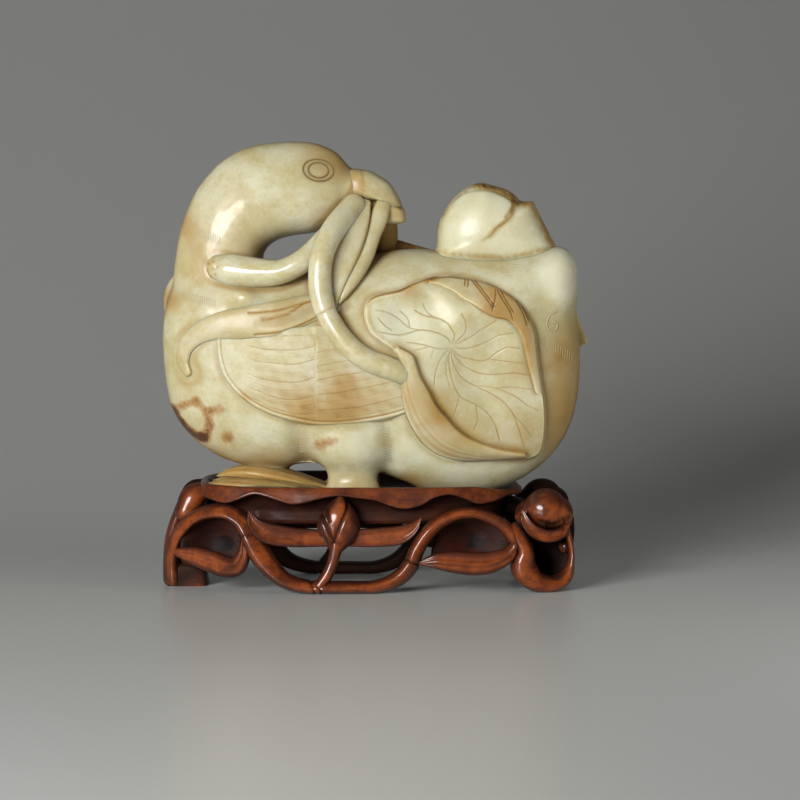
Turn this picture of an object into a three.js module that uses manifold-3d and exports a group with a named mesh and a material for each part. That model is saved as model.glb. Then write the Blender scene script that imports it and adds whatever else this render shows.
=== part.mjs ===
// A jade duck with its head turned back, a lotus spray in its bill, on a carved hardwood stand.
// Millimetres, +Z up. The breast points towards -X and the flank that carries the large leaf towards -Y.
import * as THREE from "three";
import { ParametricGeometry } from "three/addons/geometries/ParametricGeometry.js";
import { mergeVertices } from "three/addons/utils/BufferGeometryUtils.js";
import Module from "manifold-3d";

const wasm = await Module();
wasm.setup();

// Driving dimensions
const BODY_HALF_DEPTH = 22.5; // the duck's body, from its middle plane to a flank
const BODY_FULLNESS = 2.3; // exponent of the body's rounded section, where 2 is an ellipse
const HEAD_HALF_DEPTH = 12.5;
const SEAT_HEIGHT = 28; // the floor of the stand's tray
const SEAT_GAP = 0.3; // between the tray and the jade that stands on it
const RIM_HEIGHT = 32.4; // the top of the tray's rim
const RIM_DIP = 2.4; // how much lower the rim is at its right end
const TRAY_HALF_LENGTH = 49;
const TRAY_HALF_DEPTH = 25.5;
const TRAY_SQUARENESS = 3.2;
const TRAY_CENTRE_X = -3;
const LIP_WAVES = 9; // scallops round the rim's lower edge
const LIP_WAVE_HEIGHT = 1.8;
const LIP_CREST = 0.728; // where the lip's edge is highest, as a share of the way round
const APRON_FOOT = 19.5; // the lower edge of the apron
const STEM_SIDES = 7;
const JOIN_TOLERANCE = 0.46; // how far simplifying a joined surface may move it
const NEAR = -1; // sign of Y on the flank that carries the large leaf
const FAR = 1;

// Shapes

// A closed surface from a function of two parameters: u runs round it, v from one pole to the other.
function closed(pointAt, around, along) {
  const geometry = new ParametricGeometry(
    (u, v, target) => target.copy(pointAt(u === 1 ? 0 : u, v)),
    around,
    along,
  );
  geometry.deleteAttribute("normal");
  geometry.deleteAttribute("uv");
  const welded = mergeVertices(geometry, 1e-3);
  const position = welded.getAttribute("position");
  const triangles = [];
  let volume = 0;
  const a = new THREE.Vector3();
  const b = new THREE.Vector3();
  const c = new THREE.Vector3();
  for (let i = 0; i < welded.index.count; i += 3) {
    const [p, q, r] = [0, 1, 2].map((k) => welded.index.getX(i + k));
    if (p === q || q === r || r === p) continue;
    triangles.push(p, q, r);
    a.fromBufferAttribute(position, p);
    b.fromBufferAttribute(position, q);
    c.fromBufferAttribute(position, r);
    volume += a.dot(b.cross(c));
  }
  if (volume < 0) triangles.reverse();
  return new wasm.Manifold(
    new wasm.Mesh({
      numProp: 3,
      vertProperties: position.array,
      triVerts: new Uint32Array(triangles),
    }),
  );
}

// A smooth closed outline through points [x, z].
function outline(points) {
  const curve = new THREE.CatmullRomCurve3(
    points.map(([x, z]) => new THREE.Vector3(x, 0, z)),
    true,
    "centripetal",
  );
  return (u) => curve.getPoint(u);
}

// A rounded lens over an outline: a superellipse from the middle plane's edge up to the two faces.
function pillow({ points, centre, halfDepth, y = 0, fullness = 2 }, around, along) {
  const edge = outline(points);
  const power = 2 / fullness;
  return closed(
    (u, v) => {
      const angle = (v - 0.5) * Math.PI;
      const reach = Math.cos(angle) < 1e-6 ? 0 : Math.cos(angle) ** power;
      const depth = Math.sign(angle) * Math.abs(Math.sin(angle)) ** power * halfDepth;
      const p = edge(u);
      return new THREE.Vector3(
        centre[0] + (p.x - centre[0]) * reach,
        y + depth,
        centre[1] + (p.z - centre[1]) * reach,
      );
    },
    around,
    along,
  );
}

// A tube or strap along stations [x, y, z, half width, half depth], with round ends. The width lies across the
// path and across the direction that depthAt gives, and a station without a half depth is round.
function sweep(stations, { sides = STEM_SIDES, steps = 2 * stations.length, depthAt } = {}) {
  const path = new THREE.CatmullRomCurve3(
    stations.map(([x, y, z]) => new THREE.Vector3(x, y, z)),
    false,
    "centripetal",
  );
  const last = stations.length - 1;
  const between = (t, column) => {
    const i = Math.min(Math.floor(t * last), last - 1);
    const f = t * last - i;
    return stations[i][column] * (1 - f) + stations[i + 1][column] * f;
  };
  const flat = stations[0].length > 4 ? 4 : 3;
  const capRings = sides > 6 ? 2 : 1;
  const rings = steps + 2 * capRings;
  const frames = new Map();
  const frameAt = (t) => {
    if (!frames.has(t)) {
      const tangent = path.getTangent(t);
      const depth = depthAt ? depthAt(path.getPoint(t), tangent) : new THREE.Vector3(0, 1, 0);
      const width = tangent.clone().cross(depth).normalize();
      frames.set(t, { tangent, width, depth: width.clone().cross(tangent).normalize() });
    }
    return frames.get(t);
  };
  return closed(
    (u, v) => {
      const ring = Math.round(v * rings);
      const t = Math.min(Math.max((ring - capRings) / steps, 0), 1);
      const beyond = ring < capRings ? capRings - ring : Math.max(ring - capRings - steps, 0);
      const capAngle = (beyond / capRings) * (Math.PI / 2);
      const reach = beyond === capRings ? 0 : Math.cos(capAngle);
      const [w, d] = [between(t, 3), between(t, flat)];
      const { tangent, width, depth } = frameAt(t);
      const capSign = ring < capRings ? -1 : 1;
      return path
        .getPoint(t)
        .addScaledVector(tangent, capSign * Math.sin(capAngle) * Math.min(w, d))
        .addScaledVector(width, reach * w * Math.cos(u * 2 * Math.PI))
        .addScaledVector(depth, reach * d * Math.sin(u * 2 * Math.PI));
    },
    sides,
    rings,
  );
}

const join = (solids) => solids.reduce((sum, solid) => sum.add(solid));

// The outer surface alone, so that any hollow closed in between joined forms is filled, without the slivers
// that the joins leave.
function cleaned(solid) {
  const outer = solid.decompose().reduce((most, piece) => (piece.volume() > most.volume() ? piece : most));
  return outer.asOriginal().simplify(JOIN_TOLERANCE);
}

// A large box whose top or bottom is at a height, used to cut a flat underside.
function below(height) {
  const size = 400;
  const box = new THREE.BoxGeometry(size, size, size).translate(0, 0, height - size / 2);
  box.deleteAttribute("normal");
  box.deleteAttribute("uv");
  const welded = mergeVertices(box);
  return new wasm.Manifold(
    new wasm.Mesh({
      numProp: 3,
      vertProperties: welded.getAttribute("position").array,
      triVerts: new Uint32Array(welded.index.array),
    }),
  );
}

function meshOf(name, solid, material) {
  const made = solid.getMesh();
  const geometry = new THREE.BufferGeometry()
    .setAttribute("position", new THREE.BufferAttribute(made.vertProperties, 3))
    .setIndex(new THREE.BufferAttribute(made.triVerts, 1));
  geometry.computeVertexNormals();
  const mesh = new THREE.Mesh(geometry, material);
  mesh.name = name;
  return mesh;
}

// The duck's body: a full, flattened form whose flanks carry all the relief.
const BODY = {
  centre: [2, 66],
  halfDepth: BODY_HALF_DEPTH,
  fullness: BODY_FULLNESS,
  points: [
    [-63.4, 72], [-62.6, 82], [-58, 91], [-46, 96], [-30, 97], [-14, 97.5], [0, 100.8], [10, 102.6],
    [21, 102.6], [33, 101.2], [44, 101.2], [53, 103], [60, 101.5], [63, 92], [63.4, 80], [64, 68.6],
    [63.1, 56.3], [60.1, 45.6], [53.4, 36.7], [42.8, 30.6], [30, 27.4], [18, 28.4], [9.5, 32],
    [-4, 36], [-18, 37.3], [-30.6, 36.1], [-44.3, 39.2], [-54.9, 46.5], [-60.7, 55],
  ],
};

// Reach of the body's outline from its centre, by angle, so that the flank can be worked out at any x and z.
const BODY_REACH = (() => {
  const edge = outline(BODY.points);
  const count = 720;
  const table = new Float64Array(count);
  const samples = Array.from({ length: 4 * count }, (_, i) => edge(i / (4 * count)));
  for (const p of samples) {
    const [dx, dz] = [p.x - BODY.centre[0], p.z - BODY.centre[1]];
    const turn = Math.atan2(dz, dx) / (2 * Math.PI) + 1;
    table[Math.floor(turn * count) % count] = Math.hypot(dx, dz);
  }
  for (let i = 0; i < count; i++) if (!table[i]) table[i] = table[(i + count - 1) % count];
  return (angle) => table[Math.floor((angle / (2 * Math.PI) + 1) * count) % count];
})();

// Depth of the body's flank from the middle plane.
function flank(x, z) {
  const [dx, dz] = [x - BODY.centre[0], z - BODY.centre[1]];
  const share = Math.min(Math.hypot(dx, dz) / BODY_REACH(Math.atan2(dz, dx)), 0.995);
  return BODY_HALF_DEPTH * (1 - share ** BODY_FULLNESS) ** (1 / BODY_FULLNESS);
}

// The flank's outward normal on one side.
function flankNormal(x, z, side) {
  const step = 1.5;
  const slopeX = (flank(x + step, z) - flank(x - step, z)) / (2 * step);
  const slopeZ = (flank(x, z + step) - flank(x, z - step)) / (2 * step);
  return new THREE.Vector3(-slopeX, side, -slopeZ).normalize();
}

// A strap that lies on the flank, along stations [x, z, lift, half width, half depth].
function strap(stations, side, options = {}) {
  const lifted = stations.map(([x, z, lift, ...size]) => {
    const p = new THREE.Vector3(x, side * flank(x, z), z);
    p.addScaledVector(flankNormal(x, z, side), lift);
    return [p.x, p.y, p.z, ...size];
  });
  return sweep(lifted, { depthAt: (p) => flankNormal(p.x, p.z, side), ...options });
}

// A raised panel on the flank inside an outline. The rows [share, lift] give its height over the flank from the
// centre, share 0, to the edge, share 1. Its back is sunk under the flank.
function panel({ points, centre }, side, rows, around) {
  const edge = outline(points);
  const profile = [...rows, [1, -2.5], [0, -2.5]];
  return closed(
    (u, v) => {
      const [share, lift] = profile[Math.round(v * (profile.length - 1))];
      const p = edge(u);
      const x = centre[0] + (p.x - centre[0]) * share;
      const z = centre[1] + (p.z - centre[1]) * share;
      return new THREE.Vector3(x, side * (flank(x, z) + lift), z);
    },
    around,
    profile.length - 1,
  );
}

// Body, thighs, breast and the upright tail.
function torso() {
  const thigh = (side) =>
    pillow(
      {
        centre: [-5, 46],
        y: side * 11.5,
        halfDepth: 8,
        points: [[-22, 46], [-17, 37], [-5, 34], [6, 36.5], [11, 45], [7, 56], [-5, 60], [-17, 56]],
      },
      12,
      6,
    );
  const tail = pillow(
    {
      centre: [53, 92],
      halfDepth: 14.5,
      fullness: 2.4,
      points: [
        [36, 99], [44, 101], [53, 103.4], [60, 103.2], [63.2, 98], [63.6, 88], [62.5, 78], [50, 74], [40, 84],
      ],
    },
    20,
    8,
  );
  return join([pillow(BODY, 44, 10), thigh(NEAR), thigh(FAR), tail]);
}

// The neck rises from the breast and the head lies back over it.
function headAndNeck() {
  const neck = sweep(
    [
      [-38, 0, 70, 21, 17],
      [-44, 0, 84, 17.5, 16],
      [-45.6, 0, 98, 13.4, 13.5],
      [-43, 0, 110, 13.5, 12],
    ],
    { sides: 16, steps: 5 },
  );
  const head = pillow(
    {
      centre: [-30, 118],
      halfDepth: HEAD_HALF_DEPTH,
      fullness: 2.15,
      points: [
        [-57.2, 104], [-52.8, 117], [-47.6, 126.4], [-38.4, 132.4], [-26.3, 135.1], [-15.1, 133.3],
        [-7.5, 129.4], [-5, 124], [-7.5, 117], [-11, 112], [-15.1, 108.7], [-21.2, 107.9],
        [-27.3, 106], [-31, 103.2], [-34.5, 99], [-44, 96], [-54, 97],
      ],
    },
    28,
    10,
  );
  const eye = (side, halfWidth, halfHeight, y) =>
    pillow(
      {
        centre: [-15.5, 127],
        y: side * y,
        halfDepth: 1.6,
        points: Array.from({ length: 8 }, (_, i) => {
          const turn = (i / 8) * 2 * Math.PI;
          return [-15.5 + halfWidth * Math.cos(turn), 127 + halfHeight * Math.sin(turn)];
        }),
      },
      12,
      4,
    );
  const eyes = [NEAR, FAR].flatMap((side) => [eye(side, 4.6, 3, 8.3), eye(side, 2.8, 2, 9.3)]);
  const upperBill = pillow(
    {
      centre: [-0.5, 120.5],
      halfDepth: 7,
      points: [
        [-9, 122], [-5.7, 127.3], [-1.5, 126.4], [3.1, 124.8], [6.2, 122.7], [8.2, 120], [9.4, 117],
        [9.9, 114.2], [5, 115.4], [-1, 116.6], [-8, 117],
      ],
    },
    18,
    6,
  );
  const lowerBill = pillow(
    {
      centre: [2.5, 113.2],
      halfDepth: 5,
      fullness: 2.6,
      points: [[-6, 117], [4, 115.6], [10.9, 114.2], [10.9, 110.7], [7, 110.2], [1, 110.4], [-4, 113]],
    },
    12,
    6,
  );
  return join([neck, head, ...eyes, upperBill, lowerBill]);
}

// The bud on the back: one broad petal wrapped over another, with a broken top.
function bud() {
  const rearPetal = pillow(
    {
      centre: [41, 106],
      halfDepth: 12,
      points: [
        [24, 104], [30, 113], [40, 119], [46, 118.2], [49.3, 116.8], [52, 112], [54, 107.5], [56.2, 103],
        [52, 96], [38, 94], [27, 96],
      ],
    },
    20,
    8,
  );
  const frontPetal = pillow(
    {
      centre: [32.5, 107],
      y: -0.8,
      halfDepth: 12.6,
      points: [
        [20, 101], [20.6, 108], [21.8, 113], [26.8, 119.6], [31.9, 122.4], [37, 122], [43, 119.5],
        [45.5, 115], [43.5, 110], [39, 106.4], [34, 103], [32, 96], [24, 95],
      ],
    },
    22,
    8,
  );
  return rearPetal.add(frontPetal);
}

// The lotus stalk with the cut end, and the thick stem that runs from the bill down to the leaf.
function stems() {
  const stalk = sweep(
    [
      [-44.3, -12.6, 96.4, 5],
      [-38.2, -14, 95.9, 5.3],
      [-31.6, -14.5, 95.6, 5],
      [-25, -14, 97.4, 4.6],
      [-19.4, -12.5, 100.3, 4.4],
      [-14.3, -10.5, 104.7, 4.3],
      [-8, -8, 111.5, 4],
    ],
    { steps: 9 },
  );
  const leafStem = sweep(
    [
      [-4.6, -6, 117, 3.2],
      [-8.6, -10, 112.2, 4.6],
      [-11.5, -15, 107, 4.4],
      [-13.6, -18.5, 100.5, 4],
      [-14.1, -20.5, 94.1, 3.7],
      [-13.2, -21.8, 87.6, 3.7],
      [-10.8, -23, 81.7, 3.7],
      [-6.9, -23.8, 75.8, 3.8],
      [-2.2, -24, 71.4, 3.8],
      [4.5, -23.8, 68.2, 3.8],
      [12, -22.5, 65, 3.6],
    ],
    { steps: 14 },
  );
  const farStem = sweep(
    [
      [0, 2.5, 114, 3.8],
      [3, 4, 109, 4],
      [4, 7, 103.5, 4.2],
      [3, 14, 98, 4],
      [2, 20.5, 90, 3.7],
      [6, 22.8, 80, 3.7],
      [16, 22.8, 73, 3.6],
    ],
    { steps: 10 },
  );
  return [stalk, leafStem, farStem];
}

// Slender folded leaves that hang from the bill, and the ribbon-like bud that curls over the breast.
function hangingLeaves() {
  const folded = sweep(
    [
      [-0.5, -6, 115.4, 0.9, 0.9],
      [-1.1, -9.5, 110.1, 2.7, 1.8],
      [-2.6, -12.5, 104.2, 3.4, 2.2],
      [-4.6, -15.5, 98.3, 3, 2.4],
      [-7, -17.8, 92.4, 2.1, 2.2],
      [-8.8, -19.5, 87.7, 0.9, 1.2],
    ],
    { steps: 6, sides: 6 },
  );
  const second = sweep(
    [
      [4.9, -3.5, 115.6, 1.2, 1.2],
      [2.8, -6.5, 110, 2.1, 1.6],
      [0.7, -9, 104.7, 2.1, 2],
      [-1.4, -12, 99.1, 2, 2.4],
      [-4.3, -15.8, 92.9, 1.5, 2.2],
      [-7.6, -18.6, 87.4, 0.8, 1],
    ],
    { steps: 6, sides: 6 },
  );
  const ribbon = (side) =>
    strap(
      [
        [-12, 86.5, 0, 2, 1.6],
        [-20.1, 84.2, 0.4, 4, 2.2],
        [-26.7, 81.8, 0.4, 3.9, 2.2],
        [-33.3, 80, 0.3, 3.7, 2],
        [-40.3, 79.2, 0.3, 3.7, 2],
        [-47.3, 78.4, 0.3, 3.7, 1.9],
        [-52.5, 76.2, 0.2, 3.1, 1.8],
        [-55.8, 72.4, 0, 2.6, 1.7],
        [-56.4, 68.8, 0, 2.3, 1.5],
        [-54.8, 65.3, 0, 1.4, 1.2],
      ],
      side,
      { steps: 11, sides: 6 },
    );
  const farNodule = sweep(
    [
      [-57, 8.5, 95, 1.8],
      [-59.8, 9, 90, 3],
      [-61, 9, 84.5, 2.7],
      [-60.6, 9, 79.5, 1.4],
    ],
    { steps: 5 },
  );
  return [folded, second, ribbon(NEAR), ribbon(FAR), farNodule];
}

// A wing: a low raised field with one strap for each flight feather along it.
const WING = {
  centre: [-20, 64],
  points: [
    [-17, 77.5], [-32, 76], [-40.2, 74.6], [-44.2, 72], [-45.5, 68.1], [-44.2, 63.9], [-41.2, 59.7],
    [-36.7, 56.5], [-29.8, 53.9], [-20.8, 51.8], [-11.8, 50.6], [-2.8, 51.2], [4.7, 52.8], [10.6, 55],
    [12, 60], [9, 66], [1.7, 68.8], [-6, 73],
  ],
};
const FLIGHT_FEATHERS = 5;

function wing(side) {
  const field = panel(WING, side, [[0, 1], [0.45, 1], [0.8, 1], [0.87, 1.7], [0.96, 1.6], [1, 0.8]], 24);
  const coverts = [0, 1, 2].map((row) =>
    strap(
      [
        [-34 + 1.5 * row, 73.2 - 6.2 * row, 0.7, 1.6, 0.9],
        [-26, 70.6 - 5.8 * row, 0.9, 2.6, 1],
        [-17.5, 70.8 - 5.4 * row, 0.7, 1.8, 0.9],
      ],
      side,
      { steps: 3, sides: 6 },
    ),
  );
  const feathers = Array.from({ length: FLIGHT_FEATHERS }, (_, row) => {
    const drop = 4.4 * row;
    return strap(
      [
        [-16.5, 71.4 - drop, 0.7, 1.5, 0.9],
        [-8, 71.2 - drop - 0.3 * row, 0.9, 2.3, 1],
        [1.5, 72.6 - drop - 0.1 * row, 0.9, 2.3, 1],
        [9.5, 74.6 - drop, 0.7, 1.6, 0.9],
      ].slice(0, row < 2 ? 3 : 4),
      side,
      { steps: 4, sides: 6 },
    );
  });
  return [field, ...coverts, ...feathers];
}

// The lotus leaf on the flank: a dished blade whose rim is rolled over, widest at the top right and lower left.
const LEAF = {
  centre: [27, 67],
  points: [
    [-1.6, 84.4], [-0.4, 88.2], [3.2, 89.9], [9.2, 91.1], [13.6, 93.2], [18.1, 94.6], [24.1, 95.2],
    [30, 94.3], [36, 92.9], [40.5, 90.5], [44.4, 87.5], [47.4, 83.5], [49.6, 79], [50.5, 72.9],
    [51.7, 64.5], [52.7, 57.8], [53.1, 51.7], [52.8, 45.6], [51.4, 40.9], [47.7, 39.2], [42.2, 39.4],
    [36.2, 39.3], [28.7, 39.2], [22.7, 40.2], [17.6, 42.8], [14, 47], [11.2, 52.2], [9.8, 57.5],
    [9.4, 63], [9.3, 69.5], [7, 73.2], [3.2, 75.8], [0.2, 78.6],
  ],
};

function lotusLeaf(side, rimHeight) {
  const blade = [
    [0, 0.8], [0.3, 0.9], [0.55, 1.1], [0.76, 1.5], [0.85, rimHeight - 0.3], [0.92, rimHeight], [1, rimHeight - 1],
  ];
  const field = panel(LEAF, side, blade, 32);
  const rollTop = strap(
    [
      [21, 93.4, 1.8, 1.2, 1.5],
      [28, 91.6, 2.1, 2.2, 1.8],
      [34, 88.8, 2.4, 3.6, 2],
      [40, 85.4, 2.5, 3.9, 2],
      [45, 80.4, 2.5, 3, 2],
      [48, 74, 2.4, 2, 1.8],
      [49.4, 67, 2.2, 1.2, 1.5],
    ],
    side,
    { steps: 7, sides: 6 },
  );
  const rollLow = strap(
    [
      [11.6, 64, 1.4, 1.8, 1.8],
      [14.4, 57, 2, 3.8, 2.3],
      [18.8, 50.8, 2.4, 5.2, 2.6],
      [25, 46, 2.4, 5, 2.6],
      [32, 42.8, 2.3, 3.2, 2.3],
      [39, 41.4, 2.1, 2, 1.8],
      [47, 40.8, 2, 1.4, 1.5],
    ],
    side,
    { steps: 7, sides: 6 },
  );
  return [field, rollTop, rollLow];
}

// The pointed tip of the far leaf, which shows past the tail.
function farLeafTip() {
  return sweep(
    [
      [50, 15.5, 74, 6, 2.4],
      [58, 13.8, 74.5, 5, 2],
      [63, 12.4, 74.4, 3, 1.4],
      [66.6, 11.6, 73.4, 0.7, 0.5],
    ],
    { steps: 5 },
  );
}

// What the duck stands on: a leafy ground under the breast and two short webbed legs.
function feet() {
  const ground = SEAT_HEIGHT + SEAT_GAP;
  const along = (p, tangent) => new THREE.Vector3(0, 0, 1).projectOnPlane(tangent).normalize();
  const leafyGround = sweep(
    [
      [-44.6, -1, ground + 3.6, 1, 1.2],
      [-40, -1, ground + 2.6, 7, 4.6],
      [-33, 0, ground + 1.6, 12, 6.6],
      [-25, 0, ground + 1, 13.5, 6.8],
      [-17, 0, ground + 0.4, 13, 4.6],
      [-8, 0, ground, 12, 3],
    ],
    { sides: 14, steps: 8, depthAt: along },
  );
  const leg = (side) =>
    sweep(
      [
        [-5, side * 11, 44, 8, 6],
        [-5.4, side * 10.5, 37.5, 8, 6],
        [-6, side * 10, 33.6, 6.9, 5.6],
        [-5.2, side * 10.5, 30.4, 8.6, 7],
        [-5, side * 11, 26, 10, 8],
      ],
      { sides: 12, steps: 6 },
    );
  return [leafyGround, leg(NEAR), leg(FAR)];
}

function duck() {
  const parts = [
    torso(),
    headAndNeck(),
    bud(),
    ...stems(),
    ...hangingLeaves(),
    ...wing(NEAR),
    ...wing(FAR),
    ...lotusLeaf(NEAR, 3),
    ...lotusLeaf(FAR, 2.4),
    farLeafTip(),
    ...feet(),
  ];
  return cleaned(join(parts).subtract(below(SEAT_HEIGHT + SEAT_GAP)));
}

// The stand's tray: a shallow dish with a wavy lip, and a plain apron set back under it.
function tray() {
  const squared = (c) => Math.sign(c) * Math.abs(c) ** (2 / TRAY_SQUARENESS);
  const corners = 48;
  const track = new THREE.CatmullRomCurve3(
    Array.from({ length: corners }, (_, i) => {
      const turn = (i / corners) * 2 * Math.PI;
      return new THREE.Vector3(
        TRAY_CENTRE_X + TRAY_HALF_LENGTH * squared(Math.cos(turn)),
        TRAY_HALF_DEPTH * squared(Math.sin(turn)),
        0,
      );
    }),
    true,
    "centripetal",
  );
  const profile = (u) => {
    const wave = LIP_WAVE_HEIGHT * Math.cos(2 * Math.PI * LIP_WAVES * (u - LIP_CREST));
    // The rim dips under the tail end of the body.
    const rim = RIM_HEIGHT - RIM_DIP * THREE.MathUtils.smoothstep(Math.cos(2 * Math.PI * u), 0.75, 0.95);
    return [
      [20, SEAT_HEIGHT],
      [6, SEAT_HEIGHT],
      [3, rim - 0.7],
      [1.8, rim],
      [0, rim - 1],
      [0, 28.3 + wave],
      [1.4, 27.3 + wave],
      [5, 26.2],
      [6.5, 24],
      [7, APRON_FOOT],
      [10, APRON_FOOT],
      [12, 24],
      [20, 24],
    ];
  };
  return closed(
    (u, v) => {
      const rows = profile(u);
      const row = Math.round(v * (rows.length - 1));
      const pole = row === 0 || row === rows.length - 1;
      const [inset, z] = rows[row];
      if (pole) return new THREE.Vector3(TRAY_CENTRE_X, 0, z);
      const tangent = track.getTangentAt(u);
      return track
        .getPointAt(u)
        .addScaledVector(new THREE.Vector3(-tangent.y, tangent.x, 0), inset)
        .setZ(z);
    },
    54,
    12,
  );
}

// One long side of the stand: a lotus vine that rises and falls from the left foot to the right arch,
// with its leaves and the bud in the middle. side is the sign of Y.
function vineSide(side) {
  const lying = (stations, options) =>
    sweep(stations.map(([x, y, z, ...size]) => [x, -side * y, z, ...size]), options);
  const vine = lying(
    [
      [-60, -5, 2, 2.6, 3.6],
      [-60.4, -5.5, 8.6, 2.4, 3.6],
      [-58.6, -8, 15.7, 2.3, 3.6],
      [-54.4, -11.5, 21.2, 2.4, 4],
      [-48.7, -15, 24, 2.5, 4],
      [-43.1, -18, 23.5, 2.4, 4],
      [-39.3, -20, 20.6, 2.3, 4],
      [-37, -21.5, 16, 2.2, 4],
      [-34.7, -22.2, 11.3, 2.2, 4],
      [-31.1, -22.6, 6.4, 2.3, 4],
      [-26.2, -23, 2.9, 2.2, 4],
      [-19.3, -23.2, 1.8, 2.2, 4],
      [-7.3, -23.2, 1.8, 2.2, 4],
      [3.2, -23, 2.3, 2.3, 4],
      [9.2, -22.8, 4.3, 2.3, 4],
      [12.7, -22.6, 8.1, 2.3, 4],
      [14.8, -22.6, 13.5, 2.3, 4],
      [17.8, -22.5, 18.7, 2.4, 4],
      [22.3, -22, 22.7, 2.5, 4],
      [27.7, -21.6, 24.5, 2.5, 4],
      [33.1, -21.4, 24.4, 2.5, 4],
      [38.8, -21.2, 22.4, 2.4, 4],
      [42.4, -21, 18.9, 2.4, 4],
      [43.2, -21, 14.7, 2.2, 3.6],
      [40.6, -22.5, 11.5, 1.6, 2.2],
    ],
    { steps: 31, sides: 6 },
  );
  const leftLeaf = lying(
    [
      [-59, -9, 10, 1, 1],
      [-53.1, -11.5, 9.8, 2.6, 1.8],
      [-46.8, -15.5, 8.2, 3.3, 2],
      [-42.1, -19, 7.6, 2.9, 2],
      [-38.8, -21.5, 10.4, 1.9, 2],
      [-37, -22.5, 14.7, 1.2, 1.6],
    ],
    { steps: 8, sides: 6 },
  );
  const rightLeaf = lying(
    [
      [15.8, -23.8, 9.2, 1, 1.2],
      [20.5, -23.6, 10.3, 2.3, 2],
      [25.6, -23.4, 10, 3, 2.2],
      [31.6, -23.2, 9.6, 3.1, 2.2],
      [36.7, -23, 10.1, 2.6, 2.1],
      [42.2, -22.2, 12.8, 1.7, 1.8],
    ],
    { steps: 8, sides: 6 },
  );
  const crossLeaf = lying(
    [
      [-35.9, -23.2, 24.2, 0.7, 0.8],
      [-33.9, -23, 20.9, 2, 1.7],
      [-29.7, -22.8, 18.5, 2.6, 2],
      [-23.7, -22.8, 17.1, 2.4, 2.2],
      [-13.3, -22.8, 16.4, 2.2, 2.2],
      [-4, -22.8, 16.4, 2.3, 2.2],
      [3.2, -22.8, 16.9, 2.6, 2.2],
      [8.6, -22.8, 17.4, 2.5, 2],
      [13, -23, 19.5, 2, 1.7],
      [15.4, -23, 22.6, 0.7, 0.8],
    ],
    { steps: 13, sides: 6 },
  );
  const middleBud = lying(
    [
      [-8.7, -24.4, 29.2, 0.9, 0.9],
      [-8.7, -24.2, 26, 3.7, 3.4],
      [-8.7, -24, 22.3, 5.9, 4.6],
      [-9, -24, 18.4, 6.1, 4.6],
      [-9.6, -24, 15.3, 4.2, 3.4],
      [-10, -24, 13.8, 2.4, 2.2],
    ],
    { sides: 10, steps: 7 },
  );
  const budStem = lying(
    [
      [-9.7, -23.6, 15, 2, 2.6],
      [-10.6, -23.4, 10.7, 2, 2.8],
      [-12.1, -23.4, 6.7, 2, 3],
      [-14.5, -23.4, 2.6, 2, 3],
    ],
    { steps: 4, sides: 6 },
  );
  const rightFoot = lying(
    [
      [43.6, -20, 18.6, 2.2, 3.6],
      [45.4, -18.6, 11.1, 2.6, 5],
      [47.2, -17.8, 6, 2.8, 6],
      [50.6, -17, 2, 2.7, 6.2],
      [55.2, -15, 1.4, 2.6, 6.2],
      [58.8, -13, 4.2, 2.4, 5.6],
      [59.8, -12, 9, 2.2, 5.2],
      [59.6, -11.6, 14, 2.2, 5],
      [56.5, -12, 20, 2.4, 5],
    ],
    { steps: 10, sides: 6 },
  );
  const knob = lying(
    [
      [48, -13.5, 20.6, 4.6, 4.6],
      [51.6, -14, 22.6, 6.6, 6.4],
      [55.4, -13.8, 21.8, 5.2, 4.8],
    ],
    { sides: 10, steps: 4 },
  );
  const scroll = lying(
    [
      [44.8, -19, 22.6, 1.4, 2],
      [46.4, -19.4, 18.4, 2, 2.4],
      [51.5, -19, 15.4, 2.1, 2.4],
      [56.4, -17, 16.4, 1.6, 2],
    ],
    { steps: 6, sides: 6 },
  );
  const leftKnob = lying(
    [
      [-56, -6, 23, 3.4, 4.4],
      [-53.4, -5.4, 27.4, 4.2, 4.6],
      [-50.5, -4.8, 29, 3.2, 4],
    ],
    { sides: 10, steps: 3 },
  );
  const struts = [[-46, -15, 25], [30, -20, 25.2]].map(([x, y, z]) =>
    lying([[x, y - 2, z, 2.4], [x, y + 7, z - 1.5, 2.4]], {
      steps: 1,
      sides: 6,
      depthAt: () => new THREE.Vector3(0, 0, 1),
    }),
  );
  return [
    vine, leftLeaf, rightLeaf, crossLeaf, middleBud, budStem, rightFoot, knob, scroll, leftKnob, ...struts,
  ];
}

// A thin web inside an arch of the vine, with an eye-shaped hole through it.
function web(side, points, centre, y, hole) {
  const plate = pillow({ points, centre, y: -side * y, halfDepth: 1.6, fullness: 5 }, 16, 4);
  const [x, z, halfWidth, halfHeight] = hole;
  const cutter = sweep(
    [
      [x, -40, z, halfWidth, halfHeight],
      [x, 40, z, halfWidth, halfHeight],
    ],
    { sides: 10, steps: 1, depthAt: () => new THREE.Vector3(0, 0, 1) },
  );
  return plate.subtract(cutter);
}

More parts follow.
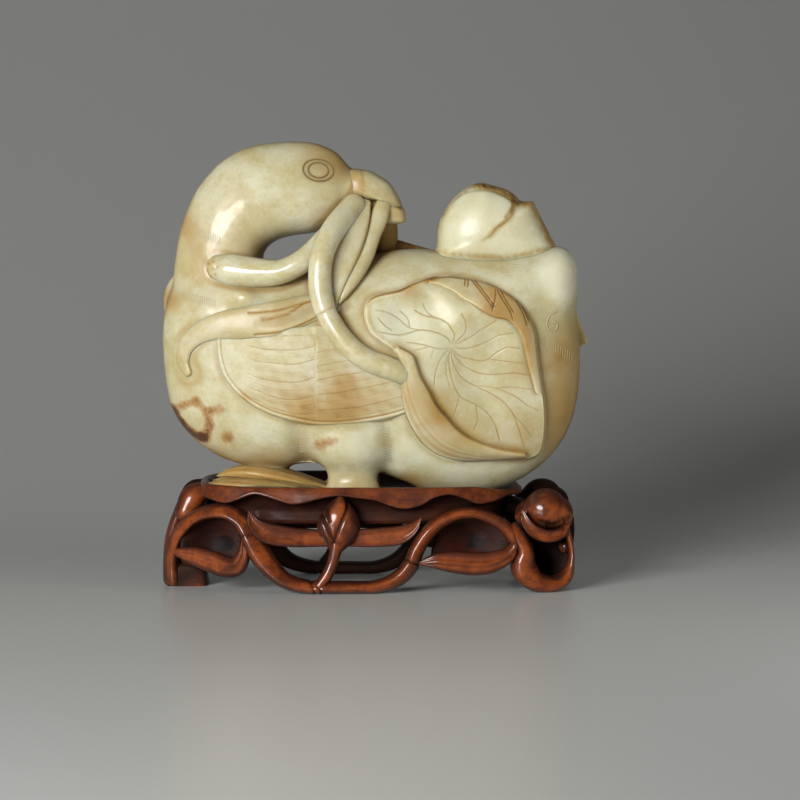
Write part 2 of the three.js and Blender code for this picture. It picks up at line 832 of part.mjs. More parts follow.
// The two ends of the stand: an upright band on a block foot at the breast, and an arch between the right feet.
function ends() {
  const leftBand = sweep(
    [
      [-60.4, 0, 1, 2.8, 6],
      [-61.2, 0, 6.5, 2.4, 5.4],
      [-61.2, 0, 13.7, 2.3, 5],
      [-59.2, 0, 21, 2.4, 5],
      [-55.4, 0, 26.4, 2.8, 5.4],
      [-52.6, 0, 28.8, 2.8, 5.4],
      [-49.6, 0, 29.4, 2, 4],
    ],
    { steps: 9 },
  );
  const leftFoot = pillow(
    {
      centre: [-55, 3],
      halfDepth: 7,
      fullness: 5,
      points: [[-62.6, -3], [-62.8, 4], [-58, 6.4], [-50, 6], [-47.4, 2], [-47.6, -3], [-55, -3.4]],
    },
    16,
    6,
  );
  const rightArch = sweep(
    [
      [58.6, -12, 13, 2.4],
      [59.6, -7, 17, 2.4],
      [59.8, 0, 19, 2.4],
      [59.6, 7, 17, 2.4],
      [58.6, 12, 13, 2.4],
    ],
    { steps: 6, depthAt: () => new THREE.Vector3(1, 0, 0) },
  );
  const rightTie = sweep([[60, 0, 19.6, 2.6, 4], [42, 0, 24.8, 2.6, 6]], { steps: 2 });
  return [leftBand, leftFoot, rightArch, rightTie];
}

const RIGHT_WEB = {
  points: [[19, 9], [20, 17], [26, 23.5], [33, 24], [40, 20], [42.5, 14], [38, 9], [28, 8]],
  centre: [31, 16],
};
const LEFT_WEB = {
  points: [[-57, 8], [-56, 18], [-49, 22.5], [-41, 20], [-38.5, 13], [-43, 7], [-50, 6]],
  centre: [-48, 14],
};

function webs() {
  return [
    web(NEAR, RIGHT_WEB.points, RIGHT_WEB.centre, -18.4, [31.5, 14.2, 4.4, 1.6]),
    web(NEAR, LEFT_WEB.points, LEFT_WEB.centre, -12, [-44.5, 12.5, 3.6, 2]),
  ];
}

function stand() {
  return cleaned(join([tray(), ...ends(), ...webs(), ...vineSide(NEAR), ...vineSide(FAR)]).subtract(below(0)));
}

const jade = new THREE.MeshStandardMaterial({ color: 0xd6cda6, roughness: 0.28, metalness: 0 });
const hardwood = new THREE.MeshStandardMaterial({ color: 0x5a2212, roughness: 0.38, metalness: 0 });

const figure = new THREE.Group();
figure.add(meshOf("jade_duck", duck(), jade), meshOf("hardwood_stand", stand(), hardwood));

// The origin is under the middle of the whole figure.
const extent = new THREE.Box3().setFromObject(figure);
figure.position.set(-(extent.min.x + extent.max.x) / 2, -(extent.min.y + extent.max.y) / 2, -extent.min.z);

export default figure;
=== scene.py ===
import math

import bpy
import numpy as np
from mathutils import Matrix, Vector
from mathutils.bvhtree import BVHTree

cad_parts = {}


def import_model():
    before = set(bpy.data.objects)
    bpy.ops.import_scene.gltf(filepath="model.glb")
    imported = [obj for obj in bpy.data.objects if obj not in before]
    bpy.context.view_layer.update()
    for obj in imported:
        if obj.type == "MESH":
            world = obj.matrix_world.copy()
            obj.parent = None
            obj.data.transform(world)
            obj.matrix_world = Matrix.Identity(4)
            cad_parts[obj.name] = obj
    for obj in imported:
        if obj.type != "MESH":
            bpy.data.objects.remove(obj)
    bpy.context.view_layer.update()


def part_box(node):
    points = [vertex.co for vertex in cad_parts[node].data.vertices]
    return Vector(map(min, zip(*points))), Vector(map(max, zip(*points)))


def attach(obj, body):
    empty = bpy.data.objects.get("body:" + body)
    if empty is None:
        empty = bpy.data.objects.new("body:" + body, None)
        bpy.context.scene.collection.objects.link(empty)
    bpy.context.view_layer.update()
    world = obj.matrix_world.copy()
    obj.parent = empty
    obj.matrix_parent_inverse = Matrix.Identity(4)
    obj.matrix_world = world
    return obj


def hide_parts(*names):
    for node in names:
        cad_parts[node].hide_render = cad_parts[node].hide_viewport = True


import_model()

# Camera. The group is seen through a long lens, square to the flank that carries the large lotus leaf and from
# a little above. Every shape below is drawn in millimetres from the drawing's own zero.
MM = 0.001
LEAF_TIP_X = 67.07  # the far leaf's tip on the drawing
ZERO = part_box("jade_duck")[1].x - LEAF_TIP_X * MM
CAMERA_DISTANCE = 1.1
CAMERA_RISE = math.radians(5)
PICTURE_SPAN = 0.244  # what the picture's width spans at the figure's middle plane
PICTURE_MIDDLE = (9.15, 56.34)  # where the lens points, on the drawing
SENSOR = 36

camera_data = bpy.data.cameras.new("camera")
camera_data.sensor_width = SENSOR
camera_data.lens = SENSOR * CAMERA_DISTANCE / PICTURE_SPAN
camera = bpy.data.objects.new("camera", camera_data)
aim = Vector((ZERO + PICTURE_MIDDLE[0] * MM, 0, PICTURE_MIDDLE[1] * MM))
camera.location = aim + CAMERA_DISTANCE * Vector((0, -math.cos(CAMERA_RISE), math.sin(CAMERA_RISE)))
camera.rotation_euler = (math.pi / 2 - CAMERA_RISE, 0, 0)
bpy.context.scene.collection.objects.link(camera)
bpy.context.scene.camera = camera


# The stand's tray: the top of one block of reddish hardwood, hollowed as a shallow dish with a wavy lip, on a
# plain apron that is set back. Everything of wood is oiled and polished.
CURVE_STEPS = 24  # samples between two points of a curve, before they are spaced evenly


def smooth_curve(points, count, closed=False):
    """Centripetal Catmull-Rom curve through the points: a cubic between each two, whose end slopes come from the
    neighbours, weighted by the square roots of the distances. The samples are evenly spaced along its length."""
    p = np.asarray(points, float)
    if closed:
        p = np.concatenate([p[-1:], p, p[:2]])
    else:
        p = np.concatenate([2 * p[:1] - p[1:2], p, 2 * p[-1:] - p[-2:-1]])
    gap = np.linalg.norm(np.diff(p, axis=0), axis=1) ** 0.5 + 1e-9
    p0, p1, p2, p3 = p[:-3], p[1:-2], p[2:-1], p[3:]
    g0, g1, g2 = (g[:, None] for g in (gap[:-2], gap[1:-1], gap[2:]))
    start = ((p1 - p0) / g0 - (p2 - p0) / (g0 + g1) + (p2 - p1) / g1) * g1
    end = ((p2 - p1) / g1 - (p3 - p1) / (g1 + g2) + (p3 - p2) / g2) * g1
    f = np.linspace(0, 1, CURVE_STEPS, endpoint=False)[None, :, None]
    a, b, c, d = (v[:, None, :] for v in (p1, start, p2, end))
    curve = (
        (2 * f**3 - 3 * f**2 + 1) * a + (f**3 - 2 * f**2 + f) * b + (3 * f**2 - 2 * f**3) * c + (f**3 - f**2) * d
    )
    curve = np.concatenate([curve.reshape(-1, p.shape[1]), p2[-1:]])
    length = np.concatenate([[0], np.cumsum(np.linalg.norm(np.diff(curve, axis=0), axis=1))])
    at = np.linspace(0, length[-1], count, endpoint=not closed)
    return np.stack([np.interp(at, length, column) for column in curve.T], axis=1)


def unit(vectors):
    """Vectors divided by their own lengths."""
    return vectors / (np.linalg.norm(vectors, axis=-1, keepdims=True) + 1e-12)


def full_turn(count):
    """Equal steps round a full turn."""
    return np.linspace(0, 2 * np.pi, count, endpoint=False)


def rounded(fullness):
    """A superellipse section, where 2 is an ellipse: the cosine and the sine of the turn, each to the power
    2 / fullness."""

    def section(turn):
        wide = np.sign(np.cos(turn)) * np.abs(np.cos(turn)) ** (2 / fullness)
        deep = np.sign(np.sin(turn)) * np.abs(np.sin(turn)) ** (2 / fullness)
        return wide, deep

    return section


def rise(value, low, high):
    """0 below low, 1 above high and a smooth rise between them."""
    t = np.clip((value - low) / (high - low), 0, 1)
    return t * t * (3 - 2 * t)


def bell(distance, width):
    """1 at no distance, falling as a bell whose half width is given."""
    return np.exp(-((distance / width) ** 2))


def skin(rings):
    """Points and faces of a closed surface given as rings, of which the first and the last are single points:
    quads between neighbouring rings, fans at the poles, turned so that the volume is positive."""
    count, sides = rings.shape[:2]
    points = np.concatenate([rings[0, :1], rings[1:-1].reshape(-1, 3), rings[-1, :1]])
    one = np.arange(sides)
    two = np.roll(one, -1)
    row = 1 + sides * np.arange(count - 3)[:, None]
    quads = np.stack([row + one, row + two, row + sides + two, row + sides + one], axis=-1).reshape(-1, 4)
    last = len(points) - 1
    low = 1 + sides * (count - 3)
    fans = np.concatenate(
        [
            np.stack([np.zeros(sides, int), 1 + two, 1 + one], axis=-1),
            np.stack([np.full(sides, last), low + one, low + two], axis=-1),
        ]
    )
    a, b, c, d = (points[quads[:, k]] for k in range(4))
    volume = np.sum(a * np.cross(b, c)) + np.sum(a * np.cross(c, d))
    if volume < 0:
        quads = quads[:, ::-1]
        fans = fans[:, ::-1]
    return points, quads, fans


def piece_of(name, surfaces):
    """A piece made of closed surfaces, each given as rings in the drawing's millimetres."""
    points, faces, first = [], [], 0
    for rings in surfaces:
        p, quads, fans = skin(rings)
        faces += (quads + first).tolist() + (fans + first).tolist()
        points.append(p)
        first += len(p)
    mesh = bpy.data.meshes.new(name)
    mesh.from_pydata((np.concatenate(points) * MM + (ZERO, 0, 0)).tolist(), [], faces)
    piece = bpy.data.objects.new(name, mesh)
    bpy.context.scene.collection.objects.link(piece)
    return piece


def record(mesh, name, values):
    """Keeps one number for each point, for the material to read."""
    mesh.attributes.new(name, "FLOAT", "POINT").data.foreach_set("value", np.asarray(values, np.float32))


def in_order(grids):
    """Numbers given on rings, put in the order of the piece's points."""
    return np.concatenate([np.concatenate([g[0, :1], g[1:-1].ravel(), g[-1, :1]]) for g in grids])


class Wire:
    """A socket in a material that does sums: each operator adds the Math node that works it out."""

    def __init__(self, finish, socket):
        self.finish = finish
        self.socket = socket

    def sum(self, operation, first, second):
        return self.finish.node("Math", {"operation": operation}, {0: first, 1: second})

    def __add__(self, other):
        return self.sum("ADD", self, other)

    def __radd__(self, other):
        return self.sum("ADD", other, self)

    def __sub__(self, other):
        return self.sum("SUBTRACT", self, other)

    def __rsub__(self, other):
        return self.sum("SUBTRACT", other, self)

    def __mul__(self, other):
        return self.sum("MULTIPLY", self, other)

    def __rmul__(self, other):
        return self.sum("MULTIPLY", other, self)


class Finish:
    """A material that is put together from nodes."""

    def __init__(self, name):
        self.material = bpy.data.materials.new(name)
        self.material.use_nodes = True
        self.tree = self.material.node_tree
        self.tree.nodes.clear()

    def node(self, kind, settings=None, inputs=None, out=0):
        """Adds a node, makes its settings, then joins or sets its sockets, and gives one of its outputs."""
        made = self.tree.nodes.new("ShaderNode" + kind)
        for key, value in (settings or {}).items():
            setattr(made, key, value)
        for key, value in (inputs or {}).items():
            if isinstance(value, Wire):
                self.tree.links.new(value.socket, made.inputs[key])
            else:
                made.inputs[key].default_value = value
        return Wire(self, made.outputs[out]) if made.outputs else None

    def mix(self, share, first, second):
        """A colour between two others, of which either may be three plain numbers."""
        first, second = (colour if isinstance(colour, Wire) else (*colour, 1) for colour in (first, second))
        return self.node("Mix", {"data_type": "RGBA"}, {0: share, 6: first, 7: second}, out=2)

    def step(self, value, low, high):
        """0 below low, 1 above high and a smooth rise between them."""
        return self.node(
            "MapRange", {"interpolation_type": "SMOOTHSTEP"}, {"Value": value, "From Min": low, "From Max": high}
        )

    def over(self, ground, colour, value, low, high, share=1.0):
        """The ground with a share of a colour laid over it: none where the value is at low, all where at high."""
        return self.mix(self.step(value, low, high) * share, ground, colour)

    def noise(self, place, scale, detail=3.0, roughness=0.5, stretch=None):
        """A cloudy value from 0 to 1 that changes over about 1 / scale metres."""
        if stretch:
            place = self.node("Mapping", None, {"Vector": place, "Scale": stretch})
        return self.node(
            "TexNoise", None, {"Vector": place, "Scale": scale, "Detail": detail, "Roughness": roughness}
        )

    def kept(self, name):
        """A number that the mesh keeps at its points."""
        return self.node("Attribute", {"attribute_name": name}, out="Fac")

    def shade(self, **sockets):
        """The shader, with each socket set or joined, on the material's output."""
        shader = self.node("BsdfPrincipled", None, {key.replace("_", " "): v for key, v in sockets.items()})
        self.node("OutputMaterial", None, {"Surface": shader})
        return self.material


DEEP_BROWN = (0.026, 0.0065, 0.0038)
RED_BROWN = (0.072, 0.0170, 0.0065)
WORN_BROWN = (0.115, 0.028, 0.009)
RUBBED_ORANGE = (0.215, 0.048, 0.010)
PORE_BROWN = (0.018, 0.006, 0.004)
# The near black of painted shade in recesses and on sides and backs, and of the cut seams.
RECESS_BLACK = (0.006, 0.0035, 0.003)


def hardwood_finish():
    """Polished rosewood: dark red brown with long darker pores, orange where the rubbed fronts are worn, near
    black where the kept darkness paints shade into recesses, sides and backs, and in the cut seams."""
    wood = Finish("polished_hardwood")
    place = wood.node("TexCoord", out="Object")
    bands = wood.noise(place, 90, detail=5, roughness=0.6, stretch=(0.18, 1, 1))
    pores = wood.noise(place, 1100, detail=4, roughness=0.7, stretch=(0.08, 1, 1))
    worn = wood.noise(place, 130, detail=7, roughness=0.72)
    # The kept darkness: painted shade in recesses and on sides and backs, and the dark of the cut seams.
    cut = wood.kept("cut")
    ground = wood.over(DEEP_BROWN, RED_BROWN, bands, 0.35, 0.65)
    ground = wood.over(ground, WORN_BROWN, worn, 0.45, 0.7, share=0.5)
    front = wood.kept("rubbed") * (0.25 + 0.75 * wood.step(worn, 0.40, 0.62))
    ground = wood.mix(front, ground, RUBBED_ORANGE)
    ground = wood.over(ground, PORE_BROWN, pores, 0.54, 0.68, share=0.5)
    ground = wood.mix(cut, ground, RECESS_BLACK)
    relief = wood.node("Bump", None, {"Strength": 0.8, "Distance": 0.0004, "Height": bands + pores * 0.5})
    return wood.shade(
        Base_Color=ground,
        Roughness=0.42 + 0.2 * pores,
        Specular_IOR_Level=0.08,
        Coat_Weight=0.65 - 0.65 * wood.step(cut, 0.1, 0.65),
        Coat_Roughness=0.16,
        Normal=relief,
    )


HARDWOOD = hardwood_finish()


def wooden_piece(name, surfaces, rubbed, cut):
    """A piece of the stand: its material, how rubbed and how dark (mostly painted shade) its points are, its
    place in the frame.
    """
    piece = piece_of(name, surfaces)
    mesh = piece.data
    mesh.materials.append(HARDWOOD)
    record(mesh, "rubbed", np.clip(in_order(rubbed), 0, 1))
    record(mesh, "cut", np.clip(in_order(cut), 0, 1))
    mesh.shade_smooth()
    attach(piece, "root")
    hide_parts("hardwood_stand")


TRAY_CENTRE_X = -3
TRAY_HALF_LENGTH = 49
TRAY_HALF_DEPTH = 25.5
TRAY_SQUARENESS = 3.2
TRAY_FLOOR = 28
RIM = 32.2
RIM_DIP = 1.6  # how much lower the rim is at its right end
APRON_FOOT = 20.6
TRAY_UNDERSIDE = 24
TRAY_STEPS = 560
LIP_EDGE = [
    (-52, 28.6), (-48, 27.8), (-43.1, 27.1), (-38.6, 28.6), (-34.7, 30), (-31.2, 29.5), (-27.3, 28.3),
    (-23.1, 27.2), (-19.2, 27.7), (-14.7, 28.9), (-9.4, 29.8), (-4.3, 29.2), (1.7, 28.4), (6.2, 26.8),
    (10.6, 25.9), (15.1, 26.8), (19.6, 29.2), (24.1, 30), (28, 28.9), (32.4, 27.1), (36.6, 27.4), (42, 29),
    (46, 28.6),
]


def tray():
    """The tray as rings round a superellipse track. Each ring is the track moved in by an inset, at a height that
    may follow the lip's wavy lower edge. Also how rubbed each ring is, and its painted shade."""
    wide, deep = rounded(TRAY_SQUARENESS)(full_turn(400))
    corners = np.stack([TRAY_CENTRE_X + TRAY_HALF_LENGTH * wide, TRAY_HALF_DEPTH * deep], axis=1)
    track = smooth_curve(corners, TRAY_STEPS, closed=True)
    along = unit(np.roll(track, -1, axis=0) - np.roll(track, 1, axis=0))
    inward = np.stack([-along[:, 1], along[:, 0]], axis=1)
    edge = np.interp(track[:, 0], *smooth_curve(LIP_EDGE, 200).T)
    rim = RIM - RIM_DIP * rise(track[:, 0], 30, 44)
    # Over the floor and the rim, down the lip and the apron and in below: inset, height, how rubbed, painted
    # shade.
    rows = [
        (20, TRAY_FLOOR, 0, 0), (7, TRAY_FLOOR, 0, 0), (6.2, TRAY_FLOOR + 0.1, 0, 0), (3.4, rim - 1.4, 0, 0.3),
        (2.6, rim - 0.7, 0, 0.2), (1.9, rim - 0.15, 0.2, 0), (1.3, rim, 0.3, 0), (0.7, rim - 0.2, 0.4, 0),
        (0.35, rim - 0.7, 0.5, 0), (0.05, 0.5 * (rim + edge), 0.5, 0), (-0.35, edge + 0.75, 0.4, 0),
        (-0.45, edge + 0.4, 0.3, 0), (-0.3, edge + 0.08, 0, 0), (0.1, edge - 0.1, 0, 0.1),
        (0.7, edge + 0.05, 0, 0.4), (1.8, edge + 0.1, 0, 0.7), (4.0, edge - 0.7, 0, 0.75), (5.4, 25.6, 0, 0.6),
        (5.9, 24, 0, 0.45), (5.6, APRON_FOOT + 1.4, 0, 0.35), (5.8, APRON_FOOT + 0.3, 0.1, 0.4),
        (6.6, APRON_FOOT, 0, 0.7), (9.6, APRON_FOOT, 0, 0.7), (10.4, 21.4, 0, 0.7),
        (12, TRAY_UNDERSIDE, 0, 0.7), (20, TRAY_UNDERSIDE, 0, 0.7),
    ]
    rings = [
        np.column_stack([track + inset * inward, np.broadcast_to(height, TRAY_STEPS)])
        for inset, height, _, _ in rows
    ]
    top, base = (np.broadcast_to((TRAY_CENTRE_X, 0, z), (TRAY_STEPS, 3)) for z in (TRAY_FLOOR, TRAY_UNDERSIDE))
    rings = np.stack([top, *rings, base])
    rubbed, cut = (np.array([0.0, *[row[k] for row in rows], 0.0]) for k in (2, 3))
    shape = rings.shape[:2]
    return rings, np.broadcast_to(rubbed[:, None], shape), np.broadcast_to(cut[:, None], shape)


tray_rings, tray_rubbed, tray_painted_shade = tray()
tray_x, tray_z = tray_rings[..., 0], tray_rings[..., 2]
# Painted shade over the right end, deepest on its outer side below the rim.
painted_end_shade = 0.95 * rise(tray_x, 33, 38) * (1 - rise(tray_z, 27, 28.5))
tray_painted_shade = np.maximum.reduce([tray_painted_shade, painted_end_shade, 0.5 * rise(tray_x, 35, 41)])
wooden_piece("tray", [tray_rings], [tray_rubbed], [tray_painted_shade])


# The stand's openwork: on each long side a lotus vine rises and falls from the left foot to the right arch, with
# its leaves and a bud; at the left end a band and a block foot, at the right scroll feet, knobs and an arch.
def egg(lean):
    """An ellipse whose front and back crests are moved across by a share of its half width."""

    def section(turn):
        return np.cos(turn) + lean * np.sin(turn) ** 2, np.sin(turn)

    return section


def blade(dish, rib, fullness=3.0):
    """A leaf's section: a superellipse whose front is hollowed by the dish towards its middle, with a raised rib
    along the middle."""

    def section(turn):
        wide, deep = rounded(fullness)(turn)
        front = deep - deep * dish * (1 - wide**2) ** 1.5 - rib * bell(wide, 0.2)
        return wide, np.where(deep < 0, front, deep)

    return section


def tube(stations, depth_at=None, rings=80, sides=32, section=rounded(2.0), dome=8):
    """A rod or blade along stations (x, y, z, half width, half depth). Each ring is the section set square to the
    path, its depth along Y or along depth_at(points). Past each end the rings shrink as a dome."""
    rows = np.array([(*s, s[3]) if len(s) == 4 else s for s in stations], float)
    line = smooth_curve(rows, rings)
    middle = line[:, :3]
    size = np.maximum(line[:, 3:], 0.05)
    forward = unit(np.gradient(middle, axis=0))
    towards = np.broadcast_to([0.0, 1.0, 0.0], middle.shape) if depth_at is None else depth_at(middle)
    across = unit(np.cross(forward, towards))
    inward = np.cross(across, forward)
    quarter = np.linspace(0, np.pi / 2, dome + 1)[1:]
    order = np.concatenate([np.zeros(dome, int), np.arange(rings), np.full(dome, rings - 1)])
    past = np.concatenate([quarter[::-1], np.zeros(rings), quarter])
    sign = np.concatenate([-np.ones(dome), np.zeros(rings), np.ones(dome)])
    shrink = np.cos(past)
    shrink[[0, -1]] = 0
    wide, deep = section(full_turn(sides))
    push = (sign * np.sin(past) * size[order].min(axis=1))[:, None]
    base = middle[order] + forward[order] * push
    return (
        base[:, None]
        + (shrink * size[order, 0])[:, None, None] * wide[None, :, None] * across[order][:, None]
        + (shrink * size[order, 1])[:, None, None] * deep[None, :, None] * inward[order][:, None]
    )


def lens(outline, centre, half_depth, y=0.0, fullness=2.0, around=180, along=56):
    """A rounded lens over an outline. Its rings run from the far pole to the near pole at an angle from -90 to 90
    degrees: each is the outline drawn in to the centre by cos ** (2 / fullness), at sin ** (2 / fullness) of the
    half depth."""
    edge = smooth_curve(outline, around, closed=True) - centre
    reach, deep = rounded(fullness)(np.linspace(-np.pi / 2, np.pi / 2, along))
    reach[[0, -1]] = 0
    flat = centre + reach[:, None, None] * edge[None]
    depth = np.broadcast_to(y + half_depth * deep[:, None], flat.shape[:2])
    return np.stack([flat[..., 0], depth, flat[..., 1]], axis=-1)


def raised(rings, height):
    """The surface with each point moved straight out by the height given there. Straight out is the cross
    product of the surface's two grid directions, turned away from the middle."""
    along = np.gradient(rings, axis=0)
    around = np.roll(rings, -1, axis=1) - np.roll(rings, 1, axis=1)
    out = unit(np.cross(around, along))
    middle = rings.mean(axis=1, keepdims=True)
    if np.sum(out * (rings - middle)) < 0:
        out = -out
    return rings + height[..., None] * out


def apart(x, z, line):
    """Distance from each point (x, z) to a chain of straight pieces."""
    line = np.asarray(line, float)
    best = np.full(x.shape, np.inf)
    for (ax, az), (bx, bz) in zip(line[:-1], line[1:]):
        ux, uz = bx - ax, bz - az
        along = np.clip(((x - ax) * ux + (z - az) * uz) / (ux * ux + uz * uz), 0, 1)
        best = np.minimum(best, np.hypot(x - ax - along * ux, z - az - along * uz))
    return best


def from_curve(x, z, points, count=16):
    """Distance from each point (x, z) to the smooth curve through some places, taken as a chain of samples."""
    return apart(x, z, smooth_curve(points, count))


VINE = [
    (-60, -5, 2, 2.4, 3.6), (-60.4, -5.5, 8.6, 2.2, 3.6), (-58.4, -8, 15.5, 2.1, 3.6),
    (-54, -11.5, 20.9, 2.1, 4), (-48.8, -15, 23.7, 2.2, 4), (-43, -18, 24, 2.3, 4), (-38.4, -20, 21.4, 2.7, 4),
    (-35.6, -21.5, 16.9, 3.2, 4), (-33, -22.2, 12.2, 3.4, 4), (-29.9, -22.6, 8, 3.1, 4),
    (-25.6, -23, 4.2, 2.5, 4), (-19.3, -23.2, 2.2, 2.1, 4), (-7.3, -23.2, 1.9, 1.9, 4), (2.6, -23, 2.2, 2.0, 4),
    (8.6, -22.8, 4.6, 2.4, 4), (12.4, -22.6, 8.7, 2.5, 4), (14.4, -22.6, 13.5, 2.3, 4),
    (17.8, -22.5, 18.7, 2.2, 4), (22.3, -22, 22.2, 2.1, 4), (27.3, -21.6, 24, 1.9, 4),
    (32.7, -21.4, 23.9, 1.8, 4), (38.4, -21.2, 21.5, 2.0, 4), (42.2, -21, 18.2, 2.1, 4),
    (43.4, -21, 14.7, 2.0, 3.6), (41.6, -22.4, 11.7, 1.6, 2.4),
]
# The vine's crest: share of the length, and place across it, from the inner edge at -1 to the outer at 1.
VINE_CREST = [(0, 0), (0.1, -0.3), (0.25, -0.45), (0.42, -0.3), (0.5, 0), (0.65, 0.35), (0.8, 0.1), (1, 0)]
LEFT_LEAF = [
    (-57.8, -10, 10.8, 1.6, 1.4), (-54, -11.6, 10.2, 2.7, 1.9), (-48.5, -14.5, 8.8, 3.3, 2.1),
    (-43.5, -17.5, 7.4, 3.3, 2.2), (-40, -19.8, 8, 3, 2.1), (-38, -21.6, 11.4, 2.2, 2),
    (-37.6, -22.4, 16, 1, 1.6),
]
RIGHT_LEAF = [
    (15.6, -24, 9.4, 0.8, 1), (20, -23.8, 10, 2.4, 2.2), (25.6, -23.6, 9.6, 3.3, 2.4),
    (31.6, -23.4, 9.1, 3.5, 2.4), (37, -23, 9.7, 3.2, 2.3), (41.6, -22.4, 11.8, 2.3, 2),
    (43.8, -21.4, 15.4, 1.2, 1.6),
]
LEFT_BLADE = [
    (-36, -23.6, 24.6, 0.4, 0.7), (-34.6, -23.6, 21.6, 1.9, 1.7), (-31, -23.4, 18.7, 3.1, 2.2),
    (-24, -23.2, 17.2, 3.0, 2.4), (-16, -23, 16.8, 2.6, 2.2), (-9, -23, 16.4, 2, 2.2),
]
RIGHT_BLADE = [
    (-9, -23, 16.4, 2, 2.2), (-3.7, -23, 16.8, 2.6, 2.2), (3.2, -23.2, 17.1, 2.9, 2.4),
    (9, -23.4, 17.8, 2.8, 2.2), (12.8, -23.6, 19.8, 1.9, 1.7), (15.2, -23.6, 22.8, 0.4, 0.7),
]
WOODEN_BUD = [
    (-8.6, -23.6, 30, 0.4, 0.6), (-8.7, -23.6, 27.8, 2.7, 2.6), (-8.9, -23.4, 24.6, 5.2, 4.2),
    (-9.2, -23.3, 20.6, 6.5, 4.7), (-9.5, -23.4, 17, 5.4, 4.2), (-9.9, -23.6, 14.4, 3.2, 2.8),
    (-10.1, -23.8, 13, 1.9, 2.2),
]
BUD_SEAMS = [
    [(-16, 26.2), (-14.5, 24.2), (-12.9, 20.9), (-11, 16.8)],
    [(-6.6, 29), (-6.4, 26.6), (-8.3, 22), (-10.4, 16.8), (-11, 14)],
    [(-12.4, 29), (-12.9, 26), (-12.2, 22.4)],
]
BUD_STEM = [
    (-9.8, -23.8, 15, 1.8, 2.4), (-10.8, -23.6, 10.2, 1.7, 2.4), (-12.4, -23.6, 6.2, 1.7, 2.6),
    (-14.8, -23.4, 2.6, 1.9, 3),
]
RIGHT_FOOT = [
    (43.4, -20.4, 19, 2.2, 3.6), (46.6, -19.2, 13.2, 2.6, 5), (46.4, -18.4, 7.4, 4, 6),
    (49.6, -17, 3.4, 3.1, 6.2), (55, -15, 2.1, 2.3, 6.2), (59.2, -13, 4.2, 2, 5.8), (60.9, -12, 9.4, 1.1, 5.4),
    (60.6, -11.6, 14, 1, 5.2), (58.4, -12, 20, 1.6, 5),
]
KNOB = [(48.4, -13.5, 22.8, 4.6, 4.6), (53, -14, 24.2, 6.6, 6.2), (56.4, -13.8, 23, 5.4, 5)]
KNOB_SEAMS = [
    [(48.6, 19.8), (51, 18.6), (54.5, 18.4), (58, 19.8), (60, 22.6)], [(51, 21.4), (55, 20.4), (58.4, 22)],
]
SCROLL = [
    (46, -19.8, 24.4, 0.6, 1), (46.9, -20, 21.6, 1.5, 1.9), (49.4, -19.8, 18.6, 2, 2.3),
    (53.4, -19, 17, 2, 2.3), (57.4, -17.2, 17.6, 1.7, 2), (60, -15, 20.4, 0.8, 1),
]
LEFT_KNOB = [(-56, -6, 23, 3.4, 4.4), (-53.4, -5.4, 27.2, 4.2, 4.6), (-50.5, -4.8, 29, 3, 3.6)]
STRUTS = [[(-46, -14, 24.2, 1.9), (-46, -8, 23.5, 2.4)], [(30, -18.5, 24, 1.9), (30, -13, 23.7, 2.4)]]
LEFT_BAND = [
    (-60.8, 0, 1.6, 2.6, 6), (-61, 0, 6.5, 2.4, 5.6), (-60.4, 0, 13.7, 2.4, 5.4), (-58.2, 0, 20.6, 2.5, 5.4),
    (-55.2, 0, 25.9, 2.8, 5.4), (-52.6, 0, 28.4, 2.6, 5.2), (-49.8, 0, 29.2, 1.8, 4),
]
LEFT_FOOT = [(-61.4, -3), (-61.6, 4), (-59.6, 6.6), (-50.6, 6.6), (-49.6, 2), (-49.8, -3), (-56, -3.4)]
RIGHT_ARCH = [
    (59.4, -12, 13, 2.2), (60, -7, 17, 2.2), (60.2, 0, 19, 2.2), (60, 7, 17, 2.2), (59.4, 12, 13, 2.2),
]
RIGHT_TIE = [(60, 0, 19.6, 2.4, 4), (42, 0, 24.8, 2.4, 6)]
VINE_CUTS = [
    [(-17.8, 5), (-16, -1)], [(-15.8, 5), (-14, -1)], [(-39.6, 17.2), (-32, 18.6)], [(11, 10.6), (16, 8)],
]
RIGHT_WEB = [(19, 9), (20, 17), (26, 23.5), (33, 24), (40, 20), (42.5, 14), (38, 9), (28, 8)]
RIGHT_SLOT = ((31.5, 14.6), (4.6, 1.8))  # centre and half sizes
LEFT_WEB = [(-57, 8), (-56, 18), (-49, 22.5), (-41, 20), (-38.5, 13), (-43, 7), (-50, 6)]
LEFT_SLOT = ((-44.5, 13.5), (4, 2.6))
LOOP_WEB = [(47.6, 18), (47.4, 10), (50, 4.6), (55, 3), (60, 4.6), (61, 12), (60, 19), (54, 20)]
WEB_HOLLOW = 4.6  # how far a plate's middle is set back
# Painted shade over the plates in the arches and the loop, and over the tie under the tray.
WEB_PAINTED_SHADE, LOOP_PAINTED_SHADE, TIE_PAINTED_SHADE = 0.66, 0.85, 0.92


def upright(points):
    """A depth direction straight up at every point."""
    return np.broadcast_to([0.0, 0.0, 1.0], points.shape)


def sideways(points):
    """A depth direction along X at every point."""
    return np.broadcast_to([1.0, 0.0, 0.0], points.shape)


def scored(rings, seams, depth, width):
    """The surface with seams cut into its front, and how dark each point of it then is."""
    cut = np.zeros(rings.shape[:2])
    for seam in seams:
        gap = from_curve(rings[..., 0], rings[..., 2], seam)
        cut = np.maximum(cut, bell(gap, width) * (rings[..., 1] < rings[..., 1].mean()))
    return raised(rings, -depth * cut), 0.85 * cut


def pared(rings, fullness, crest, slope):
    """A strap whose front is pared back on both sides of a crest: each point of the front goes back by the slope
    times its distance across the strap from the crest, in half widths."""
    wide, deep = rounded(fullness)(full_turn(rings.shape[1]))
    place = np.interp(np.linspace(0, 1, len(rings)), *np.array(crest, float).T)
    back = slope * np.sqrt((wide[None] - place[:, None]) ** 2 + 0.01) * np.clip(-deep, 0, 1) ** 0.5
    return rings + (0, 1, 0) * back[..., None]


